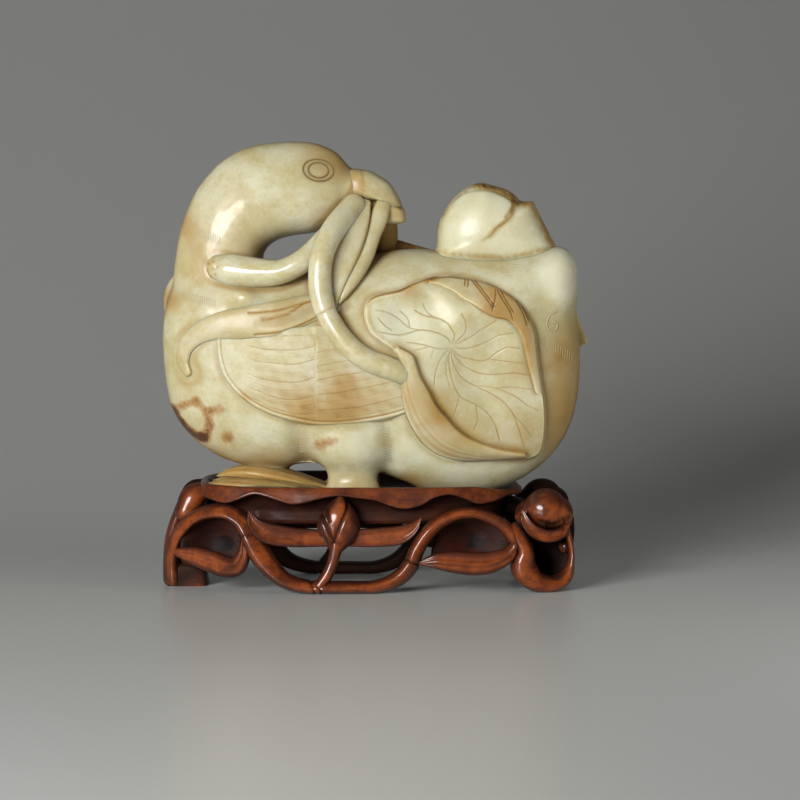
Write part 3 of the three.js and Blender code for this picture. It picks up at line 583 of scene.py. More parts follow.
def front_and_sides(rings, front, sides):
    """How rubbed a strap's front is and how dark its sides and back are with painted shade, for the given
    strengths of both.
    """
    deep = np.sin(full_turn(rings.shape[1]))
    rubbed = front * rise(-deep, 0.72, 1.0)
    dark = sides * rise(deep, -0.75, 0.3)
    return np.broadcast_to(rubbed, rings.shape[:2]), np.broadcast_to(dark, rings.shape[:2])


def vine_side(name, side, fineness):
    """One long side of the stand, drawn for the near side and turned over for the far one. The fineness scales
    how many rings each part has."""

    def rings_of(count):
        return int(count * fineness)

    vine = pared(tube(VINE, rings=rings_of(360), section=rounded(3.0)), 3.0, VINE_CREST, 2.0)
    vine, vine_cut = scored(vine, VINE_CUTS, 0.35, 0.3)
    bud, bud_cut = scored(tube(WOODEN_BUD, rings=rings_of(120), sides=96), BUD_SEAMS, 0.8, 0.5)
    knob, knob_cut = scored(tube(KNOB, rings=rings_of(56), sides=64), KNOB_SEAMS, 0.4, 0.6)
    foot = tube(RIGHT_FOOT, rings=rings_of(130), section=rounded(3.2))
    plain = [
        tube(LEFT_LEAF, rings=rings_of(90), sides=48, section=blade(0.0, -0.35, 2.4)),
        tube(RIGHT_LEAF, rings=rings_of(90), sides=48, section=blade(0.35, 0.55, 2.4)),
        tube(LEFT_BLADE, rings=rings_of(80), sides=48, section=blade(0.75, 0.0)),
        tube(RIGHT_BLADE, rings=rings_of(80), sides=48, section=blade(0.75, 0.25)),
        tube(BUD_STEM, rings=rings_of(40), section=rounded(2.4)),
        pared(foot, 3.2, [(0, -0.2), (1, -0.2)], 1.2),
        tube(SCROLL, rings=rings_of(80), section=blade(0.5, 0.0)),
        tube(LEFT_KNOB, rings=rings_of(40)),
        *[tube(strut, depth_at=upright, rings=12) for strut in STRUTS],
    ]
    surfaces = [vine, bud, knob, *plain]
    for rings in surfaces:
        rings[..., 2] = np.maximum(rings[..., 2], 0)
    # Worn fronts, and painted shade on the sides and backs, joined below with the dark of the cut seams.
    rubbed, dark = zip(*[front_and_sides(rings, 0.9, 0.75) for rings in surfaces])
    scores = [vine_cut, bud_cut, knob_cut, *[np.zeros(rings.shape[:2]) for rings in plain]]
    cut = [np.maximum(*pair) for pair in zip(dark, scores)]
    wooden_piece(name, [rings * (1, -side, 1) for rings in surfaces], rubbed, cut)


def web(outline, centre, y):
    """A plate inside an arch of the vine, hollowed towards its middle."""
    plate = lens(outline, centre, 1.6, y=y, fullness=5, around=90, along=45)
    plate[..., 1] += WEB_HOLLOW * bell(np.hypot(plate[..., 0] - centre[0], plate[..., 2] - centre[1]), 7)
    return plate


def slotted(plate, centre, radii):
    """How dark a plate with an oval slot is: painted shade all over, and black painted in the slot for the
    dark seen through a hole.
    """
    gap = np.hypot((plate[..., 0] - centre[0]) / radii[0], (plate[..., 2] - centre[1]) / radii[1])
    return np.maximum(WEB_PAINTED_SHADE, 1 - rise(gap, 0.85, 1.1))


vine_side("vine_near", -1, 0.85)
vine_side("vine_far", 1, 0.36)
right_web = web(RIGHT_WEB, (31, 16), -17)
left_web = web(LEFT_WEB, (-48, 14), -10.5)
loop_web = web(LOOP_WEB, (54.5, 11.5), -6)
# The plates' colour is painted shade, with black painted in the slots.
loop_shade = np.full(loop_web.shape[:2], LOOP_PAINTED_SHADE)
web_shade = [slotted(right_web, *RIGHT_SLOT), slotted(left_web, *LEFT_SLOT), loop_shade]
unrubbed = [np.zeros(dark.shape) for dark in web_shade]
wooden_piece("arch_webs", [right_web, left_web, loop_web], unrubbed, web_shade)
left_band = pared(tube(LEFT_BAND, sides=40, section=rounded(3.0)), 3.0, [(0, 0.3), (1, 0.3)], 1.5)
left_foot = lens(LEFT_FOOT, (-56, 2.5), 7, fullness=5, around=120, along=40)
right_arch = tube(RIGHT_ARCH, depth_at=sideways, rings=50, sides=24)
right_tie = tube(RIGHT_TIE, rings=40, section=rounded(3.0))
stand_ends = [left_band, left_foot, right_arch, right_tie]
for end in stand_ends:
    end[..., 2] = np.maximum(end[..., 2], 0)
# Worn fronts, and painted shade on the sides and backs; the tie under the tray is painted in full shade.
end_rubbed, end_shade = zip(*[front_and_sides(end, 0.5, 0.65) for end in stand_ends])
end_shade = [*end_shade[:-1], np.full(right_tie.shape[:2], TIE_PAINTED_SHADE)]
wooden_piece("stand_ends", stand_ends, end_rubbed, end_shade)


# The duck's body, neck, head, bill and legs: one stone, roughed out as full rounded forms that run into each
# other, then rubbed smooth, so every inner corner is a soft hollow. Pale celadon nephrite with russet skin.
def drawn(mesh):
    """The mesh's points in the drawing's millimetres."""
    co = np.empty(len(mesh.vertices) * 3, np.float32)
    mesh.vertices.foreach_get("co", co)
    return (co.reshape(-1, 3).astype(float) - (ZERO, 0, 0)) / MM


def redraw(mesh, points):
    """Puts the mesh's points at new places in the drawing."""
    mesh.vertices.foreach_set("co", (points * MM + (ZERO, 0, 0)).astype(np.float32).ravel())
    mesh.update()


def outward(mesh):
    """The mesh's normals at its points."""
    normal = np.empty(len(mesh.vertices) * 3, np.float32)
    mesh.vertices.foreach_get("normal", normal)
    return normal.reshape(-1, 3).astype(float)


def neighbours(mesh):
    """The two ends of every edge, and how many edges meet at each point."""
    ends = np.empty(len(mesh.edges) * 2, np.int32)
    mesh.edges.foreach_get("vertices", ends)
    one, two = ends.reshape(-1, 2).T
    return one, two, np.bincount(ends, minlength=len(mesh.vertices))[:, None]


def mean_of_neighbours(values, one, two, meet):
    """For each point, the mean of the values at the points that its edges lead to."""
    size = len(values)
    sums = [np.bincount(one, v[two], size) + np.bincount(two, v[one], size) for v in values.T]
    return np.stack(sums, axis=1) / meet


def rub(mesh, rounds, fill, wear):
    """Rubs a surface smooth. Each round moves every point towards the mean of its neighbours: by `fill` of the
    way where that mean lies outside the surface, in a hollow, and by `wear` of the way elsewhere."""
    links = neighbours(mesh)
    points = drawn(mesh)
    for turn in range(rounds):
        if turn % 4 == 0:
            redraw(mesh, points)
            normal = outward(mesh)
        pull = mean_of_neighbours(points, *links) - points
        share = np.where(np.sum(pull * normal, axis=1) > 0, fill, wear)
        points = points + pull * share[:, None]
    redraw(mesh, points)


def carve(name, surfaces, grain, floor):
    """One solid from many overlapping forms: they are joined on a grid of cubes of the grain's size, and nothing
    reaches below the floor."""
    for rings in surfaces:
        rings[..., 2] = np.maximum(rings[..., 2], floor)
    rough = piece_of(name + "_rough", surfaces)
    join = rough.modifiers.new("join", "REMESH")
    join.mode = "VOXEL"
    join.voxel_size = grain * MM
    whole = bpy.data.meshes.new_from_object(rough.evaluated_get(bpy.context.evaluated_depsgraph_get()))
    rough_mesh = rough.data
    bpy.data.objects.remove(rough)
    bpy.data.meshes.remove(rough_mesh)
    whole.name = name
    piece = bpy.data.objects.new(name, whole)
    bpy.context.scene.collection.objects.link(piece)
    return piece


def hollowness(mesh, rounds):
    """How far the surface lies below its own smoothed-out copy, in millimetres: above zero in hollows and below
    zero on ridges."""
    links = neighbours(mesh)
    points = drawn(mesh)
    smooth = points
    for _ in range(rounds):
        smooth = mean_of_neighbours(smooth, *links)
    return np.sum((smooth - points) * outward(mesh), axis=1)


def within(x, z, outline):
    """Whether each point lies inside an outline: whether a ray from it crosses the outline an odd number of
    times."""
    corners = np.asarray(outline, float)
    inside = np.zeros(x.shape, bool)
    for (ax, az), (bx, bz) in zip(corners, np.roll(corners, -1, axis=0)):
        if az != bz:
            inside ^= ((az > z) != (bz > z)) & (x < ax + (z - az) * (bx - ax) / (bz - az))
    return inside


SEAT = 28.3  # the flat underside of the jade
BODY_OUTLINE = [
    (-63.1, 72), (-62.9, 80), (-61.4, 88), (-56, 95), (-44, 97), (-30, 97), (-14, 97.5), (0, 100.8),
    (10, 102.4), (21, 102.2), (33, 101), (44, 101.2), (53, 102.8), (60, 101.5), (62.8, 94), (62.6, 86),
    (63.5, 77.7), (64, 68.6), (63.4, 58), (61.2, 49), (57.6, 42.4), (52.4, 36.6), (42.8, 30.6), (30, 27.4),
    (18, 28.4), (9.5, 32), (-4, 36), (-18, 37.3), (-30.6, 36.1), (-44.3, 38.4), (-54.4, 45.2), (-60.4, 54),
]
BODY_CENTRE = (2, 66)
BODY_HALF_DEPTH = 22.5
BODY_FULLNESS = 2.3
TAIL_OUTLINE = [
    (36, 99), (44, 101), (53, 103.2), (59, 103.2), (62.6, 99), (63.2, 92), (62.4, 84), (56, 78), (46, 80),
    (40, 88),
]
THIGH_OUTLINE = [(-20.6, 48), (-18, 41), (-12, 36), (-4, 34.4), (2, 37), (5.4, 43), (5, 51), (0, 56), (-14, 57)]
LEG = [
    (-5, 11, 44, 8, 6), (-5.4, 10.5, 37.5, 8, 6), (-5.6, 10, 33.6, 7.2, 5.6), (-5.2, 10.5, 30.4, 8.4, 7),
    (-5, 11, 26, 9.6, 8),
]
THIGH_GROOVES = [[(-21.4, 51), (-21.2, 45), (-19, 39.5)], [(4.6, 52), (6, 45), (6.4, 39)]]
NECK_AND_HEAD = [
    (-36, 0, 66, 24, 18), (-42, 0, 80, 19.5, 16.4), (-45.4, 0, 90, 15.2, 13.2), (-46.2, 0, 98, 13.2, 12.4),
    (-44.6, 0, 106, 13.2, 12.5), (-40.4, 0, 113.4, 14.1, 12.6), (-34, 0, 118.6, 14.9, 12.5),
    (-26, 0, 120.6, 14.4, 12.2), (-18.5, 0, 121, 13.95, 11.2), (-13, 0, 121, 12.4, 9.6),
    (-9.4, 0, 120.8, 9.6, 8), (-8, 0, 120.6, 7, 6.6),
]
NECK_LEAN = -0.22  # how far the neck's crest lies towards its inner side
GROUND = [
    (-44, -1, SEAT + 2, 1, 1.2), (-40, -1, SEAT + 2, 7, 3), (-34, 0, SEAT + 2.6, 10, 5.4),
    (-28, 0, SEAT + 2, 11, 5.4), (-20, 0, SEAT + 0.6, 11, 2.6), (-10, 0, SEAT, 11, 1.6),
]
FAR_NODULE = [(-57, 8.5, 95, 1.8), (-59.8, 9, 90, 3), (-61, 9, 84.5, 2.7), (-60.6, 9, 79.5, 1.4)]
BILL_ROOT = [(-15, 0, 121, 9, 9), (-8.5, 0, 121.6, 5.4, 6.9), (-4, 0, 121.4, 4.6, 6.1), (1, 0, 120.6, 3.4, 4.6)]
NEAR_NODULE = [(-46, -13.5, 90.6, 1.2), (-41, -15.6, 89.2, 2.2), (-37, -17, 88.4, 2.8), (-34, -17, 87.8, 1.6)]
LEAF_OUTLINE = [
    (-1.6, 84.4), (-0.4, 88.2), (3.2, 89.9), (9.2, 91.1), (13.6, 93.2), (18.1, 94.6), (24.1, 95.2), (30, 94.3),
    (36, 92.9), (40.5, 90.5), (44.4, 87.5), (47.4, 83.5), (49.6, 79), (50.5, 72.9), (51.7, 64.5), (52.7, 57.8),
    (53.1, 51.7), (52.8, 45.6), (51.4, 40.9), (47.7, 39.2), (42.2, 39.4), (36.2, 39.3), (28.7, 39.2),
    (22.7, 40.2), (17.6, 42.8), (14, 47), (11.2, 52.2), (9.8, 57.5), (9.4, 63), (9.3, 69.5), (7, 73.2),
    (3.2, 75.8), (0.2, 78.6),
]
LEAF_BED = 3.4  # how far the flank is cut back under the leaf
GROOVE_DEPTH = 1.7  # of the hollows before and behind each thigh
FACET_DEPTH = 0.045  # of the shallow facets that hand rubbing leaves


def leg(side):
    """A short leg that widens to a webbed foot on the seat."""
    return tube([(x, side * y, *rest) for x, y, *rest in LEG])


def facets(points):
    """How far hand rubbing left each point proud, from -1.5 to 0.5: half less than the product of a wave along X
    and a wave along Z, each bent by slower waves."""
    x, y, z = points.T
    return np.sin(0.8 * x + 1.3 * np.sin(0.45 * z)) * np.sin(0.7 * z + 1.1 * np.sin(0.5 * x) + 0.4 * y) - 0.5


def press_in(points, depth, start):
    """Moves both flanks in by a depth where they stand further out than the start."""
    points[:, 1] -= np.sign(points[:, 1]) * depth * (np.abs(points[:, 1]) > start)


body = carve(
    "duck_body",
    [
        lens(BODY_OUTLINE, BODY_CENTRE, BODY_HALF_DEPTH, fullness=BODY_FULLNESS),
        lens(TAIL_OUTLINE, (53, 92), 14.5, fullness=2.4),
        lens(THIGH_OUTLINE, (-7.5, 46), 10, y=-11.2),
        lens(THIGH_OUTLINE, (-7.5, 46), 10, y=11.2),
        tube(NECK_AND_HEAD, rings=140, sides=96, section=egg(NECK_LEAN)),
        leg(-1),
        leg(1),
        tube(GROUND, depth_at=upright),
        tube(FAR_NODULE),
        tube(NEAR_NODULE),
        tube(BILL_ROOT),
    ],
    grain=0.74,
    floor=SEAT,
)
rub(body.data, rounds=64, fill=0.7, wear=0.06)
rub(body.data, rounds=8, fill=0.5, wear=0.5)
body_points = drawn(body.data)
body_points += FACET_DEPTH * facets(body_points)[:, None] * outward(body.data)
body_points[:, 2] = np.maximum(body_points[:, 2], SEAT)
body_x, body_z = body_points[:, 0], body_points[:, 2]
for groove in THIGH_GROOVES:
    press_in(body_points, GROOVE_DEPTH * bell(from_curve(body_x, body_z, groove, 12), 2.8), 8)
leaf_edge = smooth_curve(LEAF_OUTLINE, 120, closed=True)
from_leaf_edge = apart(body_x, body_z, np.concatenate([leaf_edge, leaf_edge[:1]]))
press_in(body_points, LEAF_BED * within(body_x, body_z, leaf_edge) * rise(from_leaf_edge, 0.6, 3), 6)
redraw(body.data, body_points)

# Where the russet skin was left: places (x, y, z), radii and strengths.
SKIN_SPOTS = [
    ((-60, -4, 54), 4, 0.85), ((-59, -6, 50.5), 4.5, 0.95), ((-56.6, -8, 47.4), 5, 1.05),
    ((-53, -11, 45), 5, 1.0), ((-49.8, -13, 45.6), 4.2, 0.85), ((-48.4, -15, 49.6), 4, 0.75),
    ((-49, -15, 54), 4, 0.66), ((-52.5, -13, 57), 4, 0.66), ((-56.4, -10, 55.6), 3.6, 0.6),
    ((-43, -17, 46), 5, 0.74), ((-41, -17, 41.4), 4, 0.66), ((-45, -17, 55), 4, 0.55),
    ((-15, -21, 44.5), 5, 0.62), ((-19, -20, 41.8), 4, 0.56), ((-10.6, -21, 46), 4, 0.5),
]


def near(finish, place, centre, radius):
    """1 at a place on the drawing, falling to 0 at the radius, both in millimetres. Depth counts for less than
    half of what the other two directions do."""
    squash = 0.4
    gap = finish.node(
        "VectorMath",
        {"operation": "DISTANCE"},
        {
            0: finish.node("VectorMath", {"operation": "MULTIPLY"}, {0: place, 1: (1, squash, 1)}),
            1: (ZERO + centre[0] * MM, centre[1] * squash * MM, centre[2] * MM),
        },
        out="Value",
    )
    return 1 - finish.step(gap, 0.1 * radius * MM, radius * MM)


STRAW = (0.380, 0.328, 0.162)
PALE_STRAW = (0.440, 0.405, 0.245)
MILK = (0.520, 0.515, 0.400)
CREAM = (0.540, 0.530, 0.410)
HONEY = (0.350, 0.275, 0.125)
DARK_GRAIN = (0.320, 0.240, 0.105)
LIGHT_GRAIN = (0.600, 0.580, 0.460)
WHITE_JADE = (0.575, 0.570, 0.440)
OCHRE = (0.320, 0.200, 0.062)
BROWN = (0.070, 0.026, 0.008)
RUSSET = (0.29, 0.140, 0.035)
BLACK_SKIN = (0.060, 0.020, 0.006)


def jade_finish():
    """Polished celadon: cream clouds in straw, with a fine grain. The stain kept at the points turns it ochre
    to brown, or milky where it is below zero; besides stains it holds painted shade, ochre on the outer edges,
    and painted light, milky on the belly and the tail tip. Where the stone's skin was left it is russet, with
    specks that are nearly black."""
    jade = Finish("celadon_jade")
    place = jade.node("TexCoord", out="Object")
    cloud = jade.noise(place, 55, detail=5, roughness=0.6)
    mottle = jade.noise(place, 210, detail=7, roughness=0.68)
    grain = jade.noise(place, 800, detail=5, roughness=0.7)
    milk = jade.noise(place, 85, detail=4, roughness=0.55)
    ground = jade.over(STRAW, PALE_STRAW, cloud, 0.34, 0.66)
    ground = jade.over(ground, MILK, milk, 0.44, 0.62, share=0.5)
    ground = jade.over(ground, CREAM, mottle, 0.46, 0.74, share=0.4)
    ground = jade.over(ground, HONEY, mottle, 0.50, 0.28, share=0.35)
    ground = jade.over(ground, DARK_GRAIN, grain, 0.50, 0.34, share=0.22)
    ground = jade.over(ground, LIGHT_GRAIN, grain, 0.54, 0.70, share=0.25)
    stain = jade.kept("stain")
    ground = jade.over(ground, WHITE_JADE, stain, 0.0, -0.5, share=0.65)
    stained = stain + (mottle - 0.5) * 0.5 * jade.step(stain, 0.02, 0.3) + (grain - 0.5) * 0.5 * stain
    ground = jade.over(ground, OCHRE, stained, 0.0, 0.55)
    ground = jade.over(ground, BROWN, stained, 0.45, 0.95, share=0.92)
    skin_field = 0.0
    for spot, radius, strength in SKIN_SPOTS:
        skin_field = skin_field + near(jade, place, spot, radius) * strength
    skin_field = skin_field * jade.noise(place, 620, detail=8, roughness=0.95)
    ground = jade.over(ground, RUSSET, skin_field, 0.15, 0.33, share=0.85)
    ground = jade.over(ground, BLACK_SKIN, skin_field, 0.30, 0.42, share=0.92)
    polish = jade.kept("polish")
    relief = jade.node("Bump", None, {"Strength": 0.2, "Distance": 0.0004, "Height": mottle + grain * 0.2})
    return jade.shade(
        Base_Color=ground,
        Roughness=0.38 + 0.08 * cloud - 0.24 * polish + 0.1 * stained,
        Specular_IOR_Level=0.32,
        Subsurface_Weight=0.8,
        Subsurface_Radius=(1.0, 0.72, 0.36),
        Subsurface_Scale=0.0045,
        Coat_Weight=0.5 * jade.step(polish, 0.1, 1.0),
        Coat_Roughness=0.09,
        Normal=relief,
    )


JADE = jade_finish()


def finish_jade(piece, stain, polish):
    """Gives a jade piece its material, its kept numbers and its place in the frame."""
    mesh = piece.data
    mesh.materials.clear()
    mesh.materials.append(JADE)
    record(mesh, "stain", np.clip(stain, -1, 1))
    record(mesh, "polish", np.full(len(mesh.vertices), float(polish)))
    mesh.shade_smooth()
    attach(piece, "root")
    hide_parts("jade_duck")


def jade_piece(name, surfaces, stains, polish):
    """A jade piece made of closed surfaces, with the stain of their points."""
    finish_jade(piece_of(name, surfaces), in_order(stains), polish)


# Where the spray lies on the body, for the brown beside it.
STALK = [
    (-45, -11, 97.3, 4.2), (-42.6, -11.5, 96.8, 4.9), (-37.5, -12.8, 96.1, 4.9), (-30, -14.8, 95.9, 4.1),
    (-26.2, -15.6, 96.4, 3.7), (-20.2, -15.8, 99.4, 3.6), (-14.3, -13, 104.4, 3.7), (-8, -9, 111.5, 3.7),
]
LEAF_STEM = [
    (-4.9, -6.4, 115.6, 3.8), (-7.6, -10, 112.6, 3.8), (-10.2, -13.6, 109.6, 3.7), (-12.6, -17, 105.6, 3.6),
    (-14.2, -19.2, 101, 3.5), (-14.8, -20.4, 95.6, 3.5), (-14.5, -21.2, 90.4, 3.5), (-13.2, -21.9, 85.4, 3.4),
    (-10.7, -22.8, 80.5, 3.5), (-6.4, -23.7, 74.9, 3.6), (-0.8, -24.1, 70.6, 3.7), (5.5, -24, 68.2, 3.8),
    (12, -22.5, 65.6, 3.6),
]
RIBBON = [
    (-10, 87.4, -0.6, 3.4, 1.4), (-17, 85.9, -0.5, 4.5, 1.8), (-24, 83.7, -0.5, 5.1, 1.9),
    (-31, 81.9, -0.5, 5.3, 1.9), (-38.5, 81, -0.4, 5.0, 1.8), (-46, 79.8, -0.4, 4.0, 1.6),
    (-52, 77.2, -0.3, 3.2, 1.4), (-55.6, 73, -0.2, 2.7, 1.4), (-56.2, 69, -0.2, 2.4, 1.3),
    (-54.6, 65.6, -0.1, 1.4, 1.1),
]
WING_LOWER = [
    (-46.4, 78.2), (-46.2, 73), (-45.6, 69), (-44.1, 64.8), (-41.7, 61.4), (-38.7, 58.4), (-34.2, 55.4),
    (-29.8, 53.3), (-23.8, 51.6), (-17.8, 50.4), (-11.8, 50), (-5.8, 50.3), (0.2, 51.2), (6.2, 52.4),
    (12.5, 54.4),
]
# Ochre places, partly the stone's ochre skin, partly painted shade on the right side, underside and edges:
# x, z, radius and strength.
OCHRE_AND_SHADE_PLACES = [
    (-16, 134, 11, 0.34), (-7, 128, 6, 0.30), (-36, 133, 9, 0.08), (-56, 110, 5, 0.3), (-33, 102, 8, 0.20),
    (-52, 103, 4, 0.12), (62, 60, 15, 0.34), (59, 44, 14, 0.34), (63, 78, 7, 0.22), (-47, 40, 7, 0.34),
    (-33, 36, 8, 0.38), (-20, 37, 8, 0.22), (10, 32, 8, 0.36), (14, 33, 5, 0.3), (46, 102, 8, 0.24),
    (26, 102, 8, 0.22), (4, 100, 6, 0.26), (-12, 112, 7, 0.2), (56, 70, 5, 0.12), (32, 28, 9, 0.16),
    (-20, 46, 3, 0.14), (5, 45, 3, 0.2), (-57, 62, 5, 0.12), (-6, 31, 7, 0.3), (-54, 47, 8, 0.14),
    (-50, 97, 14, 0.13), (-40, 116, 14, 0.1), (-50, 72, 10, 0.06), (-61.5, 87, 4, 0.45), (58, 71, 5, 0.14),
    (40, 99, 3, 0.2), (0, 98, 4, 0.2), (-45, 84, 6, 0.08),
]
# Where the stone is painted paler, in the same terms: partly milky stone, partly painted light on belly and tail
# tip.
PALE_AND_PAINTED_LIGHT_PLACES = [
    (-3, 45, 7, 0.42), (14, 42, 9, 0.46), (30, 36, 10, 0.34), (58, 97, 9, 0.72), (-40, 48, 9, 0.16),
    (42, 97, 8, 0.26), (10, 97, 10, 0.16), (-26, 128, 10, 0.16),
]
EYE = (-15.5, 126.4)
EYE_RINGS = [(4.55, 3.2), (3.0, 2.2)]
EYE_LEAN = math.radians(-10)
BILL_JOIN = [(-5.4, 127.4), (-4.8, 124), (-5.4, 121), (-7.4, 117.6)]  # where the bill leaves the head


def oval(centre, radii, lean):
    """A closed oval line."""
    turn = np.linspace(0, 2 * np.pi, 49)
    across, up = radii[0] * np.cos(turn), radii[1] * np.sin(turn)
    return np.stack(
        [
            centre[0] + across * math.cos(lean) - up * math.sin(lean),
            centre[1] + across * math.sin(lean) + up * math.cos(lean),
        ],
        axis=1,
    )


def spots(x, z, places):
    """The sum of soft round spots, each given as x, z, radius and strength."""
    return sum(strength * bell(np.hypot(x - cx, z - cz), radius) for cx, cz, radius, strength in places)


def body_stain(points, hollow, normal):
    """Brown in the hollows, beside the carvings and round the eyes; soft ochre along the stone's outer edges,
    where it faces away from both flanks, which is painted shade; ochre places that are part skin and part
    painted shade, less pale places that are part milky stone and part painted light."""
    x, y, z = points.T
    # Brown in the hollows; ochre painted shade where the surface faces away from both flanks.
    stain = 0.55 * rise(hollow, 0.2, 0.9) + 0.32 * rise(1 - np.abs(normal[:, 1]), 0.5, 1.0)
    stain = stain + spots(x, z, OCHRE_AND_SHADE_PLACES)
    near_side = rise(-y, 2, 8)
    for path, reach in ((STALK, 5), (LEAF_STEM, 4)):
        gap = from_curve(x, z, np.array(path)[:, [0, 2]], 30) - reach
        stain = np.maximum(stain, 0.36 * bell(gap, 1.2) * near_side)
    either_side = rise(np.abs(y), 6, 11)
    gap = from_curve(x, z, np.array(RIBBON)[:, :2], 30) - 3.6
    stain = np.maximum(stain, 0.28 * bell(gap, 1.2) * either_side)
    stain = np.maximum(stain, 0.38 * bell(from_leaf_edge, 1.5) * either_side)
    stain = np.maximum(stain, 0.28 * bell(from_curve(x, z, WING_LOWER, 30), 1.3) * either_side)
    for radii in EYE_RINGS:
        stain = np.maximum(stain, 0.34 * bell(apart(x, z, oval(EYE, radii, EYE_LEAN)), 0.9))
    stain = np.maximum(stain, 0.42 * bell(from_curve(x, z, BILL_JOIN, 12), 1.1))
    return stain - spots(x, z, PALE_AND_PAINTED_LIGHT_PLACES)


hollow = hollowness(body.data, 10)
finish_jade(body, body_stain(drawn(body.data), hollow, outward(body.data)), polish=0.42)


# The bill: a hooked upper half over a short lower one with a square end, both left with crisp edges. Brown has
# settled in the rings cut round its base and in the line of the mouth.
UPPER_BILL_OUTLINE = [
    (-26, 121), (-20, 124.8), (-11, 127), (-6.4, 126.8), (-2.7, 126.7), (0.1, 126.1), (3.1, 124.5),
    (6.1, 122.4), (7.9, 119.7), (9.2, 117.3), (9.9, 114.4), (7, 115.6), (1, 116.9), (-8, 117), (-18, 117),
]
LOWER_BILL_OUTLINE = [
    (-12, 118), (0, 117), (9.2, 115.4), (10.6, 114), (10.8, 112.4), (10.7, 110.8), (7.9, 110), (1, 110.2),
    (-8, 112),
]
BILL_LINES = [
    [(-6.4, 127), (-6.2, 124), (-7, 121), (-8.4, 118)],
    [(-2.6, 127), (-2, 123.6), (-1.8, 121), (-2.4, 117)],
    [(-7.4, 118), (-2.3, 117.6), (3.1, 117), (7.6, 116), (9.4, 114.8)],
]


def bill_half(outline, centre, half_depth, fullness):
    """Half a bill, narrowed towards the head and cut with the lines that cross it, and its stain."""
    half = lens(outline, centre, half_depth, fullness=fullness, around=150, along=46)
    x, z = half[..., 0], half[..., 2]
    lines = bell(np.minimum.reduce([from_curve(x, z, line) for line in BILL_LINES]), 0.32)
    edge_on = rise(1 - np.abs(half[..., 1]) / half_depth, 0.4, 1)
    half[..., 1] *= 0.7 + 0.3 * rise(x, -10, -2.5)
    stain = 0.1 + 0.26 * bell(x + 5, 3.4) + 0.25 * lines + 0.22 * edge_on + 0.16 * bell(z - 114, 3)
    return raised(half, -0.14 * lines), stain


bill_halves = [
    bill_half(UPPER_BILL_OUTLINE, (-6, 121.2), 6.6, 2.5),
    bill_half(LOWER_BILL_OUTLINE, (1, 113.6), 5.2, 3.6),
]
jade_piece("bill", *zip(*bill_halves), polish=0.3)


# Wings: each is a low field left standing on the flank, with a plain shoulder, a rim along its lower edge, rows
# of covert feathers and long flight feathers, all cut in fine lines with slanting barbs.
def lens_depth(outline, centre, half_depth, fullness):
    """The depth of a lens's surface over its middle plane at points (x, z): the half depth times
    (1 - share ** fullness) ** (1 / fullness), where the share is the distance from the centre over the outline's
    reach in that direction."""
    edge = smooth_curve(outline, 1440, closed=True) - centre
    angle = np.arctan2(edge[:, 1], edge[:, 0])
    order = np.argsort(angle)
    reach = np.linalg.norm(edge, axis=1)[order]

    def depth(x, z):
        dx, dz = x - centre[0], z - centre[1]
        limit = np.interp(np.arctan2(dz, dx), angle[order], reach, period=2 * np.pi)
        share = np.clip(np.hypot(dx, dz) / limit, 0, 0.995)
        return half_depth * (1 - share**fullness) ** (1 / fullness)

    return depth


flank = lens_depth(BODY_OUTLINE, BODY_CENTRE, BODY_HALF_DEPTH, BODY_FULLNESS)

WING_UPPER = [
    (-46.4, 78.6), (-45.6, 79), (-44, 79), (-38, 79), (-30, 79), (-20, 80), (-14, 80), (-8, 76), (0, 73),
    (8, 70), (12.5, 66),
]
WING_LEFT, WING_RIGHT = -46.4, 12.5
RIB_X = -16
COVERT_LINES = [
    [(-36, 78), (-30, 77.4), (-16.6, 78)],
    [(-36, 74.4), (-32.1, 73.5), (-25.2, 73.2), (-20.7, 73.5), (-16.6, 74.4)],
    [(-36, 70.6), (-33.9, 69.9), (-28.2, 69.3), (-22.2, 69), (-19.2, 69.6), (-16.6, 70.5)],
    [(-36, 66), (-33.9, 65.1), (-28.2, 63.9), (-23.7, 63.6), (-19.9, 63.9), (-16.6, 65.1)],
    [(-36, 61.8), (-33.3, 60.9), (-29.7, 59.4), (-25.3, 58.5), (-20.8, 58.5), (-16.6, 59.7)],
    [(-36, 58.8), (-33, 57.8), (-30.3, 56.2), (-25.3, 54.8), (-20.8, 54), (-16.6, 54.3)],
    [(-36, 56), (-30, 53), (-16.6, 50.2)],
]
FLIGHT_LINES = [
    [(-15.4, 77.4), (-9, 78), (12, 79)],
    [(-15.4, 72.6), (-12.4, 73.3), (-6, 73.8), (12, 74)],
    [(-15.4, 68.4), (-10.3, 69.6), (-5.8, 70.2), (0, 70.6), (12, 70)],
    [(-15.4, 64.2), (-11.8, 65.1), (-7.3, 66), (-2.8, 66.6), (1.7, 66.9), (6.2, 66.8), (12, 67)],
    [(-15.4, 60), (-8.8, 60.6), (-4.3, 61.5), (0.2, 62.4), (4.7, 63.4), (9.2, 64.2), (12, 64.6)],
    [(-15.4, 55.2), (-10.3, 55.5), (-5.8, 55.9), (-2.2, 56.4), (1.7, 57.3), (6.2, 58.5), (12, 60)],
    [(-15.4, 50.4), (-5.8, 50.4), (12, 54)],
]
# Ochre places on the wing: x, z, radius and strength.
WING_STAINS = [
    (-19, 54, 5, 0.36), (-8, 54, 6, 0.34), (-7, 63, 4, 0.3), (-14, 61, 9, 0.1), (-26, 60, 7, 0.16),
    (2, 58, 7, 0.2), (-38, 58, 2.4, 0.4),
]


